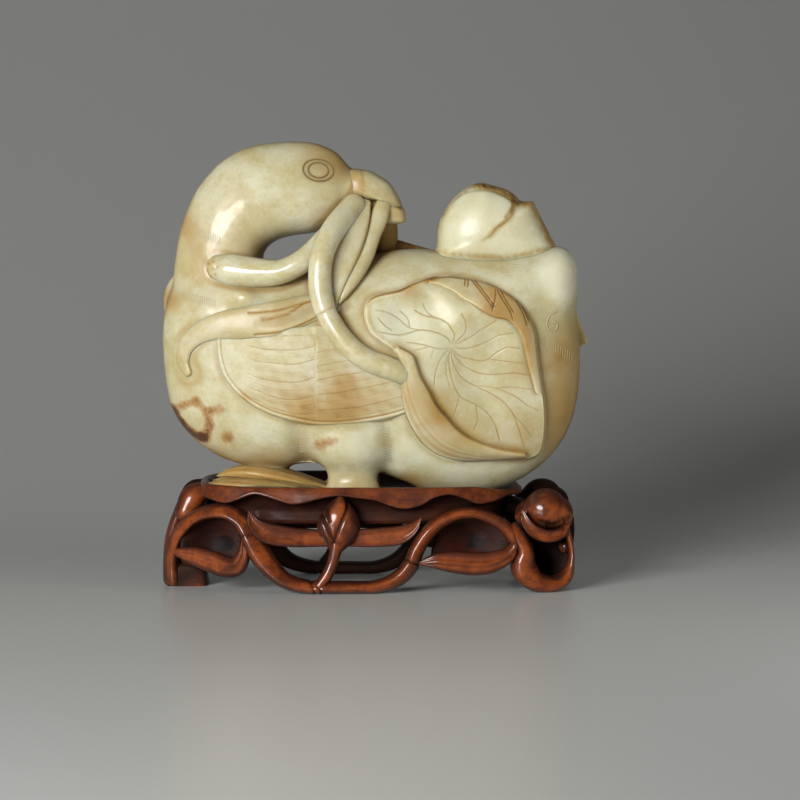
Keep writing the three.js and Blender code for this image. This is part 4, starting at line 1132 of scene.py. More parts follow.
def feather_rows(x, z, lines, pitch, slant):
    """Height and line strength of feathers between edge lines. Each feather rises a little towards its lower edge
    and drops to the next, with a fine cut along its middle and barbs that slant away from it on both sides."""
    height = np.zeros_like(x)
    cut = np.zeros_like(x)
    edges = [np.interp(x, *smooth_curve(line, 60).T) for line in lines]
    for upper, lower in zip(edges[:-1], edges[1:]):
        wide = np.maximum(upper - lower, 0.5)
        t = (upper - z) / wide
        inside = (t >= 0) & (t < 1)
        from_upper = t * wide
        from_lower = (1 - t) * wide
        middle = np.abs(t - 0.5) * wide
        barb = 0.5 + 0.5 * np.cos(2 * np.pi * (x + slant * middle) / pitch + 0.9 * np.sin(0.6 * x + z))
        barb = barb * (0.55 + 0.45 * np.sin(0.9 * x + 1.3 * z) * np.sin(0.7 * z - 0.5 * x))
        swell = 0.1 + 0.08 * t - 0.05 * (1 - rise(from_lower, 0, 0.4))
        line = bell(from_upper, 0.16)
        shaft = bell(middle, 0.12)
        height = np.where(inside, swell - 0.14 * line - 0.05 * shaft - 0.19 * barb, height)
        cut = np.where(inside, np.maximum.reduce([0.36 * line, 0.12 * shaft, 0.3 * barb**2]), cut)
    return height, cut


def wing(name, side, columns, rows):
    """A wing as columns from its lower to its upper edge. Each point lies on the flank, raised by the wing's
    height there; the back of the field is sunk into the body."""
    share = np.linspace(0, 1, columns)
    x_line = WING_LEFT + (WING_RIGHT - WING_LEFT) * (share - 0.06 * np.sin(2 * np.pi * share))
    low = np.interp(x_line, *smooth_curve(WING_LOWER, 200).T)
    high = np.interp(x_line, *smooth_curve(WING_UPPER, 200).T)
    x = np.broadcast_to(x_line[:, None], (columns, rows))
    z = low[:, None] + (high - low)[:, None] * np.linspace(0, 1, rows)
    from_lower = from_curve(x, z, WING_LOWER, 40)
    coverts, covert_cuts = feather_rows(x, z, COVERT_LINES, pitch=0.8, slant=-1.1)
    flights, flight_cuts = feather_rows(x, z, FLIGHT_LINES, pitch=0.85, slant=1.1)
    on_coverts = rise(x, -38, -33) * (1 - rise(x, RIB_X - 0.6, RIB_X - 0.2))
    on_flights = rise(x, RIB_X + 0.2, RIB_X + 0.6)
    inside_rim = rise(from_lower, 1.7, 2.1)
    lift = 0.35 + 0.3 * rise(x, -45, -33) + inside_rim * (on_coverts * coverts + on_flights * flights)
    lift += 0.08 * bell(x - RIB_X, 0.7) * inside_rim
    lift += 0.13 * bell(from_lower - 0.9, 0.5) - 0.1 * bell(from_lower - 1.7, 0.24)
    lift -= 1.0 * (1 - rise(from_lower, 0, 0.9))
    cut = inside_rim * (on_coverts * covert_cuts + on_flights * flight_cuts)
    cut = np.maximum(cut, 0.26 * bell(from_lower - 1.8, 0.28))
    ochre = 0.05 * (1 - rise(-x, 32, 42)) + spots(x, z, WING_STAINS)
    front = np.stack([x, side * (flank(x, z) + lift), z], axis=-1)
    back = front[:, [-1, -1, 0, 0]] * (1, 0, 1)
    sunk = np.array([-2, -6, -6, -2])
    back[..., 1] = side * np.maximum(flank(back[..., 0], back[..., 2]) + sunk, 1)
    rings = np.concatenate([front, back], axis=1)
    stain = np.concatenate([cut + ochre, np.full((columns, 4), 0.3)], axis=1)
    jade_piece(name, [rings], [stain], polish=0.1)


wing("wing_near", -1, columns=390, rows=166)
wing("wing_far", 1, columns=160, rows=72)


# The large lotus leaf: a thick dished leaf carved against the flank behind the wing. Its upper edge is rolled
# over at the right, its lower left side folds forward, and its main veins are cut from one point, with branches.
LEAF_CENTRE = (25.6, 67)
FOLD_INNER = [
    (8.5, 74.5), (13, 71.8), (14.2, 68.5), (15.4, 65.2), (17.2, 62.2), (18.7, 59.2), (20.2, 56.5), (22.6, 53.8),
    (25.6, 50.2), (28.3, 47.8), (31.6, 46), (36.1, 44.2), (41.4, 42.7), (46.8, 41.8),
]
FOLD_OUTER = [
    (6.5, 72), (8.6, 66.7), (8.8, 61.9), (9.6, 57.1), (11.8, 51.1), (15.4, 45.4), (20.5, 41.4), (25.9, 39.6),
    (33.1, 38.9), (40.5, 38.9), (47.5, 39.5),
]
ROLL_INNER = [
    (18, 93), (21.1, 92.4), (25.5, 90.3), (27.9, 88.5), (30.6, 87.1), (33.9, 85), (37.5, 83.2), (41.3, 82.3),
    (43.7, 80.2), (45.5, 77.2), (46.7, 72.7), (47.9, 67.3), (49.9, 60),
]
ROLL_OUTER = [
    (18, 94.8), (25.5, 95.2), (31.5, 94.2), (38, 92.2), (43.4, 89), (47, 84.7), (49.2, 80), (50.6, 73),
    (51.6, 66), (52.6, 59),
]
HUB = (24.7, 74.5)
MAIN_VEINS = [
    [
        HUB, (23.5, 76.6), (21.1, 78.1), (18.1, 79), (15.1, 79.3), (12.1, 78.4), (9.2, 77.8), (6.2, 78.1),
        (3.2, 78.7),
    ],
    [HUB, (23.5, 73.9), (21.1, 73.6), (18.7, 74.2), (16.6, 74.8), (13.6, 75.4), (11.2, 75.7)],
    [
        HUB, (25.5, 77.8), (24.7, 79.3), (23.8, 80.8), (21.7, 82.3), (19.6, 82.9), (17.5, 83.2), (15.1, 84.1),
        (13.6, 85),
    ],
    [HUB, (27.6, 77.2), (28.8, 79), (28.8, 81.7), (27.6, 84.1)],
    [HUB, (30, 76.9), (33, 79), (36, 80.8), (37.8, 82)],
    [HUB, (27, 73.6), (31.5, 74.2), (35.4, 75.7), (39, 77.5), (43.1, 78.1)],
    [HUB, (26.4, 71.8), (30.6, 70.3), (34.8, 70), (37.8, 72.1), (41.4, 73.9), (44.9, 73.6)],
    [HUB, (25.6, 71.5), (28.2, 68.5), (33, 66.1), (39, 65.8), (43.8, 66.1), (47.9, 65.5)],
    [
        HUB, (24.7, 70.9), (27.1, 65.5), (31.2, 62.5), (36, 60.1), (40.2, 57.4), (43.2, 53.5), (45, 48.7),
        (46.8, 42.7),
    ],
    [HUB, (23.8, 70.9), (24.7, 64.9), (27.1, 59.5), (31.8, 56.8), (35.4, 54.1), (37.8, 50.2), (39, 45.7)],
    [HUB, (22.9, 72.7), (21.1, 70), (19.9, 66.7), (19.3, 62.5)],
]
SIDE_VEINS = [
    [(15.1, 79.3), (12.1, 79.9), (10, 81.4), (7.7, 83.2), (4.7, 84.7), (2, 85.3)],
    [(12.1, 79.9), (11.8, 82), (10.6, 83.5), (9.2, 84.7)],
    [(6.8, 79), (4.4, 80.8), (2.6, 82.9)],
    [(17.5, 74.2), (15.1, 73.6), (13.6, 73.3)],
    [(19.3, 73.9), (18.4, 71.2)],
    [(20.2, 82.6), (17.8, 84.1), (16.6, 85.6), (16, 87.1)],
    [(36, 70.3), (40.5, 69.7), (46.1, 69.1)],
    [(31.2, 62.5), (37.5, 61.6), (43.5, 59.2), (48, 55.9), (51, 54.7)],
    [(37.5, 61.6), (42.6, 61.9), (47.4, 61.3), (51.2, 61)],
    [(43.2, 53.5), (45.6, 51.1), (48.6, 46.9)],
    [(27.1, 59.5), (25.9, 55.3), (24.7, 52.3)],
    [(31.8, 56.8), (32.5, 52.3), (31.3, 49.3)],
    [(23.5, 71.5), (22.9, 67.3), (24.1, 62.5)],
]
ROLL_STROKES = [
    [(28.8, 94.5), (28.5, 92.4)],
    [(29.7, 94.2), (29.4, 92.1)],
    [(30.6, 93.9), (33.6, 90.3), (36.9, 85.9)],
    [(31.5, 93.9), (34.5, 90.3), (37.5, 86.2)],
    [(37.7, 91.2), (37.4, 88.2), (36.6, 85)],
    [(38.3, 90.9), (40.1, 87.7), (42.2, 84.4), (42.8, 82)],
    [(39.2, 90.9), (41, 87.7), (43.1, 84.4)],
    [(43.4, 88.8), (44.9, 85.9), (46.4, 82.9), (47, 80.5)],
    [(44.3, 88.5), (46.1, 85), (47.6, 82)],
]
# Ochre places on the leaf, partly painted shade under the fold and on its right: x, z, radius and strength;
# and dark knots on its edge: centre and two radii.
LEAF_STAINS_AND_SHADE = [
    (21, 59, 5, 0.26), (21, 53, 4, 0.24), (29, 49, 6, 0.22), (14, 60, 4, 0.12), (12, 91.5, 4, 0.35),
    (46, 67, 8, 0.2), (45, 48, 9, 0.22), (37, 86, 6, 0.2),
]
EDGE_KNOTS = [((18.5, 94.2), (3.2, 1.0)), ((10, 91.6), (5, 0.8))]
PLEATS = 6  # across the fold
RIM_STEPS = 14  # rings kept for the last few hundredths of the leaf, out to its edge


def bowl(x, z, centre, radii, lean):
    """A soft round hollow, 1 at its centre, whose long radius leans by an angle."""
    dx, dz = x - centre[0], z - centre[1]
    long = dx * math.cos(lean) + dz * math.sin(lean)
    short = dz * math.cos(lean) - dx * math.sin(lean)
    return np.exp(-((long / radii[0]) ** 2) - (short / radii[1]) ** 2)


def between(x, z, inner, outer):
    """For points between two lines, their share of the way from the inner to the outer one, the distance from
    the inner line, and whether they lie between them."""
    inner = smooth_curve(inner, 44)
    outer = smooth_curve(outer, 44)
    from_inner = apart(x, z, inner)
    from_outer = apart(x, z, outer)
    share = from_inner / (from_inner + from_outer + 1e-6)
    return share, from_inner, within(x, z, np.concatenate([inner, outer[::-1]]))


def cut_veins(x, z, lift, stain):
    """The main veins, which start at the hub, and their branches: fine cuts that hold brown."""
    from_hub = np.hypot(x - HUB[0], z - HUB[1])
    brown = 0.28 + 0.16 * rise(z - 0.6 * x, 58, 68)
    for vein in MAIN_VEINS:
        gap = from_curve(x, z, vein, 4 * len(vein))
        lift = lift - 0.14 * bell(gap, 0.2) * rise(from_hub, 0.3, 2)
        stain = np.maximum(stain, brown * bell(gap, 0.19) * rise(from_hub, 0.3, 2.4))
    for vein in SIDE_VEINS:
        gap = from_curve(x, z, vein, 4 * len(vein))
        lift = lift - 0.12 * bell(gap, 0.18)
        stain = np.maximum(stain, 0.85 * brown * bell(gap, 0.18))
    return lift, stain


def fold_over(x, z, lift, stain):
    """The lower left side folded forward: a swelling strip, pleated towards its outer line, in place of the
    leaf's own lift. Also which points it covers."""
    across, gap, folded = between(x, z, FOLD_INNER, FOLD_OUTER)
    onto_fold = rise(np.where(folded, gap, -gap), -0.35, 0.35)
    pleats = np.cos(2 * np.pi * across * PLEATS) * rise(across, 0.35, 0.7)
    fold = 2.4 + 1.8 * np.sin(np.pi * np.clip(0.2 + 0.8 * across, 0, 1)) ** 0.8 - 1.2 * across**2 - 0.09 * pleats
    near_fold = ~folded & (gap < 7)
    lift = (lift - 0.5 * bell(gap, 2.2) * near_fold) * (1 - onto_fold) + fold * onto_fold
    fold_brown = 0.13 + 0.1 * bell(across - 0.8, 0.25) + 0.04 * pleats + 0.16 * bell(gap, 0.5)
    # Brown on the fold, and painted shade on the dish beside its inner edge, under its overhang.
    stain = np.maximum(np.where(folded, fold_brown, stain), 0.34 * bell(gap, 1.6) * near_fold)
    return lift, stain, folded


def roll_over(x, z, lift, stain):
    """The upper right edge rolled over: a round strip in place of the leaf's own lift, with short strokes cut
    across it. Also which points it covers."""
    across, gap, rolled = between(x, z, ROLL_INNER, ROLL_OUTER)
    onto_roll = rise(np.where(rolled, gap, -gap), -0.35, 0.35)
    roll = 2.7 + 0.5 * np.sin(np.pi * np.clip(0.2 + 0.65 * across, 0, 1)) - 0.9 * across**3
    lift = (lift - 0.4 * bell(gap, 1.2) * (lift < 3.4)) * (1 - onto_roll) + roll * onto_roll
    roll_brown = 0.13 + 0.28 * rise(x, 27, 38) * (1 - rise(x, 47, 50))
    # Brown on the roll, and a painted shadow line along its inner edge.
    stain = np.where(rolled, roll_brown, np.maximum(stain, 0.36 * bell(gap, 0.5)))
    for stroke in ROLL_STROKES:
        gap = from_curve(x, z, stroke, 12)
        lift = lift - 0.18 * bell(gap, 0.22)
        stain = np.maximum(stain, 0.95 * bell(gap, 0.22))
    return lift, stain, rolled


def edge_brown(x, z, from_edge, stain, flat):
    """The leaf's stain with dark knots and brown along its edge, and a faint line inside the edge where the leaf
    lies flat. What stays unstained is a little milky, most of all in the left dish."""
    for knot, size in EDGE_KNOTS:
        stain = np.maximum(stain, 0.8 * bowl(x, z, knot, size, 0.25))
    stain = np.maximum(stain, 0.14 * bell(from_edge - 1.6, 0.45) * flat)
    browned = np.maximum(rise(z, 85, 89) * (1 - rise(x, 27, 31)), 0.7 * rise(x, 46, 49))
    stain = np.maximum(stain, browned * 0.62 * bell(from_edge - 0.45, 0.32))
    return stain - (0.16 + 0.2 * bowl(x, z, (12, 81), (12, 8), 0.3)) * rise(0.12 - stain, 0, 0.12)


def lotus_leaf(name, side, around, along):
    """The leaf as rings from its centre out to its edge and back underneath. Each point lies on the flank, raised
    by the leaf's height there: a broad dish at the right and a small one at the left, less the veins, plus the
    rolled edge and the fold."""
    edge = smooth_curve(LEAF_OUTLINE, around, closed=True) - LEAF_CENTRE
    reach = np.concatenate([np.linspace(0, 0.955, along), np.linspace(0.961, 1, RIM_STEPS)])[:, None]
    x = LEAF_CENTRE[0] + reach * edge[:, 0]
    z = LEAF_CENTRE[1] + reach * edge[:, 1]
    from_edge = apart(x, z, np.concatenate([leaf_edge, leaf_edge[:1]]))
    lift = 2.9 - 3.1 * bowl(x, z, (11, 82), (11, 6.5), 0.3) - 3.6 * bowl(x, z, (32, 62), (21, 11.5), 2.05)
    lift -= 1.1 * bowl(x, z, (36, 76), (9, 7), 0.5)
    lift += 0.2 * bell(from_edge - 0.5, 0.4)
    lift += 0.2 * np.sin(x * 0.55 + 0.3 * z) * rise(from_edge, 1, 5)
    lift, stain = cut_veins(x, z, lift, np.zeros_like(x))
    lift, stain, folded = fold_over(x, z, lift, stain)
    lift, stain, rolled = roll_over(x, z, lift, stain)
    stain = stain + spots(x, z, LEAF_STAINS_AND_SHADE) * (1 - rolled * 0.6)
    stain = edge_brown(x, z, from_edge, stain, ~folded & ~rolled)
    lift -= 1.3 * (1 - rise(from_edge, 0, 0.9)) ** 2
    front = np.stack([x, side * (flank(x, z) + lift), z], axis=-1)
    under_reach = np.array([1.0, 0.97, 0.6, 0.0])[:, None]
    under_depth = np.array([0.4, -3.4, -7.0, -7.5])[:, None]
    under_x = LEAF_CENTRE[0] + under_reach * edge[:, 0]
    under_z = LEAF_CENTRE[1] + under_reach * edge[:, 1]
    back = np.stack([under_x, side * np.maximum(flank(under_x, under_z) + under_depth, 0.5), under_z], axis=-1)
    stain = np.concatenate([stain, np.full(under_x.shape, 0.4)])
    jade_piece(name, [np.concatenate([front, back])], [stain], polish=0.12)


lotus_leaf("lotus_leaf_near", -1, around=560, along=118)
lotus_leaf("lotus_leaf_far", 1, around=240, along=44)


# The spray: a cut stalk, the leaf stem with its sheath, two folded leaves that hang from the bill, the ribbon
# of a drooping bud over each breast, and the stem and leaf tip on the far side. All are round rods and straps.
def flank_normal(side):
    """The direction straight out of the flank at points near it, from the slopes of its depth."""

    def at(points):
        x, z = points[:, 0], points[:, 2]
        slope_x = (flank(x + 1.5, z) - flank(x - 1.5, z)) / 3
        slope_z = (flank(x, z + 1.5) - flank(x, z - 1.5)) / 3
        return unit(np.stack([-slope_x, np.full_like(x, side), -slope_z], axis=-1))

    return at


def on_flank(stations, side):
    """Stations (x, z, lift, half width, half depth) set on the flank."""
    rows = np.array(stations, float)
    foot = np.stack([rows[:, 0], side * flank(rows[:, 0], rows[:, 1]), rows[:, 1]], axis=-1)
    foot += flank_normal(side)(foot) * rows[:, 2:3]
    return np.concatenate([foot, rows[:, 3:]], axis=1)


STALK_PITS = [
    (-48.2, 98.6), (-46.8, 99.2), (-48.6, 96.4), (-47, 97.2), (-45.8, 97.8), (-47.8, 94.8), (-46.4, 95.4),
]
FAR_STEM = [
    (2.6, 2, 115, 4.6), (4.2, 3.4, 109, 4.2), (4.2, 5.4, 104, 4.2), (3.4, 13, 98, 4), (2, 20.5, 90, 3.7),
    (6, 22.8, 80, 3.7), (16, 22.8, 73, 3.6),
]
FAR_RIDGE = [(3, 5, 103.6, 2.2), (8, 6, 103.2, 1.8), (13, 7, 102, 1.5), (20, 8, 100.6, 1)]
FOLDED_LEAF = [
    (-1.2, -6, 116.8, 1.6, 1), (-2.6, -9, 112.4, 2.8, 1.8), (-5, -12.2, 106.8, 3.9, 2.2),
    (-7.6, -15, 100.6, 4.2, 2.4), (-9.4, -17.2, 95, 3.4, 2.2), (-10.2, -18.8, 89.8, 2, 1.4),
    (-10.4, -19.6, 86, 0.6, 0.8),
]
SECOND_LEAF = [
    (4.6, -3.5, 117.2, 2.2, 1.4), (2.9, -6.5, 112.6, 2.8, 1.8), (0.7, -9.4, 106.7, 2.6, 2),
    (-1.2, -12.4, 101, 2.5, 2.2), (-4, -15.6, 95.6, 2.3, 2), (-6.8, -17.8, 91, 1.6, 1.6),
    (-9, -19, 87.2, 0.5, 0.8),
]
LEAF_TIP = [
    (48, 82), (56, 84.4), (62.4, 84), (64.6, 79), (66.4, 75), (67, 73.2), (65.6, 72.2), (60, 70), (50, 70),
]
RIBBON_CHANNEL = [(-12, 88), (-18, 85.6), (-25, 82.9), (-33, 80.8)]
RIBBON_LINES = [
    [(-16, 88.4), (-22, 86.6), (-28, 85), (-36, 84.4)],
    [(-13, 84.4), (-20, 80.8), (-26, 78.6), (-34, 77.6)],
    [(-20, 87), (-26, 83.4), (-32, 82.2)],
]


def contact(rings, strength=0.5, start=-0.45):
    """Brown low on a rod's flanks: a smooth rise from its front to its back."""
    deep = np.sin(full_turn(rings.shape[1]))
    return np.broadcast_to(strength * rise(deep, start, start + 0.8), rings.shape[:2])


stalk = tube(STALK, rings=140, sides=64)
stalk_stain = contact(stalk, 0.4, -0.6)
for pit_x, pit_z in STALK_PITS:
    pit = bell(np.hypot(stalk[..., 0] - pit_x, stalk[..., 2] - pit_z), 0.42) * (stalk[..., 1] < -11)
    stalk_stain = np.maximum(stalk_stain, 0.75 * pit)
jade_piece("stalk", [stalk], [stalk_stain], polish=0.8)
leaf_stem = tube(LEAF_STEM, rings=200, sides=64)
below_collar = rise(0.5 * leaf_stem[..., 0] - leaf_stem[..., 2], -92.3, -91.2)
leaf_stem = raised(leaf_stem, -0.3 * below_collar)
stem_stain = np.maximum(contact(leaf_stem, 0.5, -0.6), 0.36 * bell(below_collar - 0.5, 0.3))
jade_piece("leaf_stem", [leaf_stem], [stem_stain], polish=0.7)
far_stem = tube(FAR_STEM, rings=90, sides=40)
far_ridge = tube(FAR_RIDGE)
leaf_tip = lens(LEAF_TIP, (58, 77), 1.5, y=13.2, around=90, along=18)
leaf_tip[..., 1] += 0.28 * (58 - leaf_tip[..., 0])
# The far stem is painted in shade, darker towards its top, and its ridge in deep shade; the leaf tip is lightly
# stained.
far_stem_painted_shade = 0.25 + 0.3 * rise(far_stem[..., 2], 96, 101)
jade_piece(
    "far_stem",
    [far_stem, far_ridge, leaf_tip],
    [far_stem_painted_shade, np.full(far_ridge.shape[:2], 0.75), np.full(leaf_tip.shape[:2], 0.2)],
    polish=0.4,
)
folded_leaf = tube(FOLDED_LEAF, rings=110, sides=56, section=blade(0.3, 0.0, 2.4))
second_leaf = tube(SECOND_LEAF, rings=110, sides=48)
jade_piece(
    "hanging_leaves",
    [folded_leaf, second_leaf],
    [0.12 + contact(folded_leaf, 0.5, -0.85), 0.08 + contact(second_leaf, 0.5, -0.8)],
    polish=0.4,
)


def ribbon(name, side, rings, sides):
    """The ribbon over one breast: a flat strap along the flank, with a long channel and fine lines in it."""
    strap = tube(on_flank(RIBBON, side), flank_normal(side), rings, sides, section=rounded(2.4))
    x, z = strap[..., 0], strap[..., 2]
    channel = bell(from_curve(x, z, RIBBON_CHANNEL, 20), 2.0) * rise(x, -38, -22)
    lines = bell(np.minimum.reduce([from_curve(x, z, line, 20) for line in RIBBON_LINES]), 0.35)
    low_flank = np.broadcast_to(0.3 * rise(-np.sin(full_turn(sides)), -0.3, 0.4), lines.shape)
    stain = 0.17 + np.maximum.reduce([low_flank, 0.1 * channel, 0.42 * lines])
    jade_piece(name, [raised(strap, -0.8 * channel - 0.3 * lines)], [stain], polish=0.25)


ribbon("ribbon_near", -1, rings=240, sides=80)
ribbon("ribbon_far", 1, rings=120, sides=48)


# The bud on the duck's back: a fat lotus bud, one broad petal wrapped over another, its tip broken off.
BUD_OUTLINE = [
    (19.2, 99.6), (20.3, 103.4), (21, 108), (21.7, 111.4), (23.6, 115.6), (26.8, 119.2), (30, 121.4),
    (34, 122.5), (37.8, 121.6), (41.6, 120.4), (44, 118.8), (45.8, 117), (49.4, 116.8), (50.6, 115),
    (52.2, 111.6), (54.3, 107.4), (56.4, 103), (54.6, 99), (46, 97.4), (38, 97), (28, 97.4),
]
BUD_CENTRE = (37, 107)
PETAL_EDGE = [
    (22.2, 112.6), (24.2, 116.1), (26.6, 118.2), (29, 119.7), (33.2, 120.6), (36.8, 120.3), (39.8, 119.1),
    (42.5, 117.6), (43.4, 115.8), (42.8, 113.1), (40.7, 111), (38.3, 109.2), (37.1, 107.7), (35.6, 106.2),
    (33.2, 105), (30, 104.2),
]
# Brown on the bud: a line, its half width and its strength.
BUD_STAINS = [
    ([(42, 119.4), (44.6, 118), (47, 116.4)], 1.0, 0.95),
    ([(49.6, 117), (52.4, 112), (54, 107.6), (56, 103)], 2.0, 0.72),
    ([(20, 112), (19.6, 106), (20, 99)], 1.6, 0.4),
    ([(20.6, 102), (30, 100.8), (42, 100.2), (54, 103)], 0.9, 0.34),
    ([(31.5, 122.4), (34, 121.8), (39, 120.6), (42, 118.6), (44.6, 116.6)], 1.1, 0.9),
    ([(22, 112), (26, 118), (31, 121.6)], 0.8, 0.4), ([(43.4, 118), (42.8, 115), (41, 112.4)], 0.7, 0.6),
]
BUD_HALF_DEPTH = 12.2
bud = lens(BUD_OUTLINE, BUD_CENTRE, BUD_HALF_DEPTH, fullness=2.3, around=220, along=110)
bud_x, bud_z = bud[..., 0], bud[..., 2]
petal_line = smooth_curve(PETAL_EDGE, 60)
on_petal = within(bud_x, bud_z, np.concatenate([petal_line, [(26, 99), (18, 99), (18, 112)]]))
petal_gap = apart(bud_x, bud_z, petal_line)
petal_end = rise(bud_z, 104, 107.5)
petal_step = np.where(on_petal, rise(petal_gap, 0, 0.9), 0) * petal_end
seam = bell(petal_gap + 0.1, 0.34) * petal_end * ~on_petal
broken_top = rise(bud_z + 0.32 * (bud_x - 34), 118.5, 121.5) * ~on_petal
chips = np.sin(bud_x * 1.7 + 1.3 * np.sin(bud_x * 0.6)) * np.sin(bud_x * 0.8 + bud_z * 2.1) + np.sin(bud_x * 4.1)
chips = 0.07 * chips * broken_top
amber_seam = 0.42 * bell(petal_gap, 0.8) * petal_end * rise(bud_x, 30, 38)
bud_edge = 0.34 * rise(1 - np.abs(bud[..., 1]) / BUD_HALF_DEPTH, 0.35, 1.0)
bud_stain = np.maximum.reduce([0.3 * seam, 0.5 * broken_top, amber_seam, bud_edge])
patchy = 0.75 + 0.25 * np.sin(1.1 * bud_x + 1.3 * np.sin(1.2 * bud_z)) * np.sin(0.9 * bud_z + 1.6 * bud_x)
for line, width, strength in BUD_STAINS:
    bud_stain = np.maximum(bud_stain, strength * patchy * bell(apart(bud_x, bud_z, line), width))
bud_stain = bud_stain - 0.3 * rise(0.25 - bud_stain, 0, 0.25)
jade_piece("lotus_bud", [raised(bud, 0.36 * petal_step - 0.14 * seam + chips)], [bud_stain], polish=0.2)


# Fine lines cut into the body: two rings round each eye, a curl on the tail and the ticks of feathers on the
# neck, thighs and tail. Each is drawn as the thread of brown stain that fills the cut.
body_skin = BVHTree.FromPolygons(
    [tuple(p) for p in drawn(body.data)], [tuple(face.vertices) for face in body.data.polygons]
)


def laid(line, side, out):
    """The places straight over a line (x, z) on the body's near or far side, moved out a little."""
    found = []
    for x, z in line:
        hit, normal, _, _ = body_skin.ray_cast(Vector((x, side * 60, z)), Vector((0, -side, 0)))
        if hit is not None:
            found.append(hit + normal * out)
    return np.array(found)


LINE_STRAW = (0.52, 0.43, 0.22)
LINE_BROWN = (0.13, 0.068, 0.014)


def line_finish():
    """What fills the engraved lines: straw-coloured where the kept stain is low, brown where it is high."""
    line = Finish("stained_lines")
    ground = line.mix(line.kept("stain"), LINE_STRAW, LINE_BROWN)
    return line.shade(Base_Color=ground, Roughness=0.6, Specular_IOR_Level=0.2)


LINE_STAIN = line_finish()


def cut_lines(name, lines, width, stain):
    """Engraved lines on both sides, each a thin flat thread of stain let into the surface."""
    threads = []
    for side in (-1, 1):
        for line in lines:
            places = laid(line, side, -0.02)
            if len(places) > 1:
                size = np.full((len(places), 1), width)
                stations = np.hstack([places, size, size * 0.4])
                threads.append(tube(stations, rings=2 * len(places), sides=6, dome=2))
    piece = piece_of(name, threads)
    finish_jade(piece, in_order([np.full(thread.shape[:2], stain) for thread in threads]), polish=0.0)
    piece.data.materials[0] = LINE_STAIN


def ticks(start, end, stroke, count):
    """Short parallel strokes along a line from start to end."""
    stroke = np.array(stroke)
    return [[place, place + 0.5 * stroke, place + stroke] for place in np.linspace(start, end, count)]


# Rows of ticks on the neck, the thigh and the tail: start, end, one stroke and how many.
TICK_ROWS = [
    ((-52, 106.4), (-45.2, 104.2), (0.3, 2.6), 11),
    ((-59, 88), (-46.4, 85.6), (0.3, 2.4), 20),
    ((-21.6, 50.4), (-21.2, 41.8), (2.6, 0.4), 11),
    ((3.6, 50), (4.4, 39.6), (2.4, -0.8), 12),
    ((51.6, 74.4), (61, 69), (0.2, 2.6), 14),
    ((39.4, 98.6), (43, 98.2), (2.6, 0), 2),
    ((38.6, 97), (40.8, 95), (2.2, 0), 3),
]
TAIL_CURL = [
    (56.2, 84.2), (54.8, 83.6), (53.6, 82.2), (53.2, 80.4), (53.8, 78.8), (55, 78.2), (56.2, 78.8),
    (56.5, 80.2), (55.8, 81.2), (55, 80.8),
]
cut_lines("eye_lines", [oval(EYE, radii, EYE_LEAN) for radii in EYE_RINGS], width=0.33, stain=0.85)
cut_lines("feather_ticks", [line for row in TICK_ROWS for line in ticks(*row)], width=0.14, stain=0.34)
cut_lines("tail_curl", [TAIL_CURL], width=0.34, stain=0.38)


# The ground under the breast: a heap of pointed lotus leaves with fine veins, browner than the rest.
GROUND_LEAVES = [
    [
        (-46.4, -3, 33.4, 0.4, 0.3), (-42, -3, 34.4, 4, 1.6), (-35, -3, 34.6, 8, 2.6), (-25, -2, 33, 9, 2.4),
        (-15, 0, 30.4, 7, 1.4),
    ],
    [
        (-50.6, -7, 31, 0.4, 0.3), (-45, -7.4, 31.4, 3.4, 1.3), (-37, -8, 31.2, 6.6, 2.2),
        (-27, -8, 30.8, 8, 2), (-16, -8, 29.6, 7, 1.2),
    ],
    [
        (-44.6, -12, 29.6, 0.4, 0.3), (-38, -12.4, 30.2, 3.2, 1.4), (-30, -12.4, 30.2, 4.6, 1.8),
        (-20, -11, 29.8, 5, 1.4), (-12, -9, 29, 3, 0.6),
    ],
    [
        (-48, 6, 31, 0.4, 0.3), (-41, 7, 31.6, 4.4, 1.4), (-33, 8, 31.6, 7.4, 2.2), (-23, 8, 30.6, 8, 1.8),
        (-15, 7, 29.4, 6, 0.8),
    ],
]


def veined(rings):
    """A leaf surface with fine ridges that run along it, and the stain between them."""
    turn = full_turn(rings.shape[1])
    ridge = np.cos(9 * turn + 0.22 * rings[..., 0]) * (0.6 + 0.4 * np.sin(0.5 * rings[..., 0] + 3 * turn))
    made = raised(rings, 0.11 * ridge)
    made[..., 2] = np.maximum(made[..., 2], SEAT)
    return made, 0.5 - 0.12 * ridge


ground_leaves = [veined(tube(leaf, depth_at=upright, rings=50, sides=72)) for leaf in GROUND_LEAVES]
jade_piece("ground_leaves", *zip(*ground_leaves), polish=0.2)


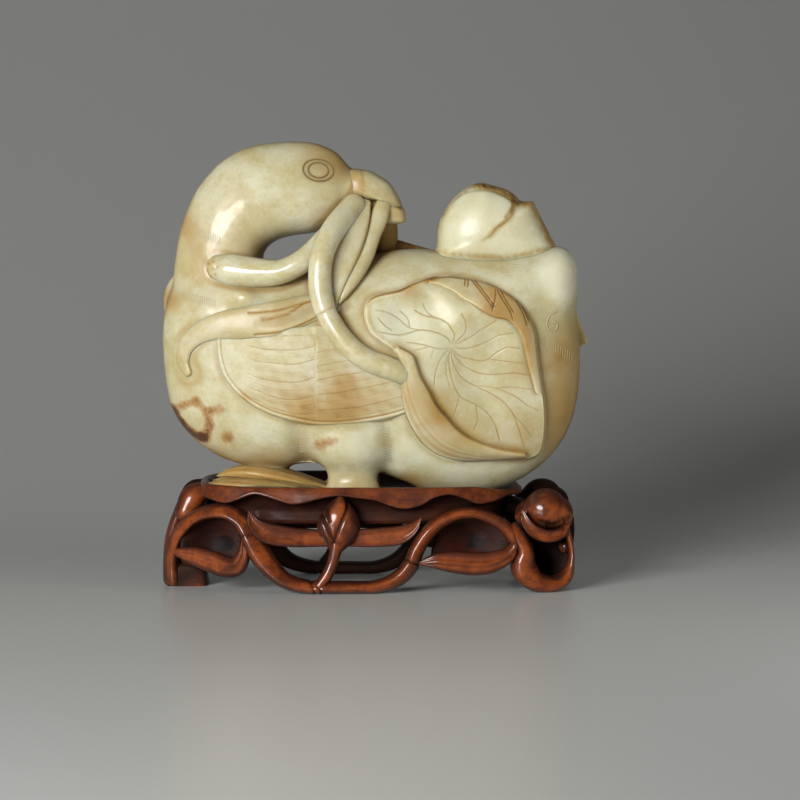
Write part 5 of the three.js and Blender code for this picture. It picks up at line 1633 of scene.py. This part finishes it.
# The studio: a plain pale sweep of paper that is the floor and rises close behind as the backdrop, a large soft
# light at the left, a weak card at the right that no polish mirrors, and even grey light from all round.
SWEEP_REACH = 3.0  # how far the paper runs to each side, to the front and up
FLOOR_DEPTH = 0.08  # how far behind the figure the sweep starts to rise
SWEEP_RADIUS = 1.0
SWEEP_BACK = FLOOR_DEPTH + SWEEP_RADIUS
PAPER_GREY = (0.45, 0.455, 0.435, 1)
ROOM_GREY = (0.52, 0.52, 0.52, 1)
ROOM_STRENGTH = 0.035
LIT_PLACE = Vector((0, 0, 0.07))  # what both lamps point at
curl = np.linspace(0, np.pi / 2, 40)
sweep_y = np.concatenate([[-SWEEP_REACH], FLOOR_DEPTH + SWEEP_RADIUS * np.sin(curl), [SWEEP_BACK]])
sweep_z = np.concatenate([[0.0], SWEEP_RADIUS - SWEEP_RADIUS * np.cos(curl), [SWEEP_REACH]])
sweep_rows = [
    np.stack([np.full_like(sweep_y, x), sweep_y, sweep_z], axis=1) for x in (-SWEEP_REACH, SWEEP_REACH)
]
sweep_points = np.concatenate(sweep_rows)
step_at = np.arange(len(sweep_y) - 1)
far_row = step_at + len(sweep_y)
sweep_faces = np.stack([step_at, far_row, far_row + 1, step_at + 1], axis=1)
sweep_mesh = bpy.data.meshes.new("paper_sweep")
sweep_mesh.from_pydata(sweep_points.tolist(), [], sweep_faces.tolist())
sweep_mesh.shade_smooth()
sweep_mesh.materials.append(Finish("grey_paper").shade(Base_Color=PAPER_GREY, Roughness=0.33))
sweep = bpy.data.objects.new("paper_sweep", sweep_mesh)
bpy.context.scene.collection.objects.link(sweep)


def soft_light(name, place, size, power):
    """An oval soft light that points at the figure."""
    lamp = bpy.data.lights.new(name, "AREA")
    lamp.shape = "ELLIPSE"
    lamp.size, lamp.size_y = size
    lamp.energy = power
    light = bpy.data.objects.new(name, lamp)
    light.location = place
    light.rotation_euler = (LIT_PLACE - Vector(place)).to_track_quat("-Z", "Y").to_euler()
    bpy.context.scene.collection.objects.link(light)
    return light


soft_light("key", place=(-0.504, -0.839, 0.278), size=(0.56, 0.4), power=15.4)
card = soft_light("card", place=(0.3, -0.16, 0.12), size=(0.2, 0.2), power=0.4)
card.visible_glossy = False
world = bpy.data.worlds.new("studio")
world.use_nodes = True
background = world.node_tree.nodes["Background"]
background.inputs["Color"].default_value = ROOM_GREY
background.inputs["Strength"].default_value = ROOM_STRENGTH
bpy.context.scene.world = world
bpy.context.scene.view_settings.view_transform = "Standard"
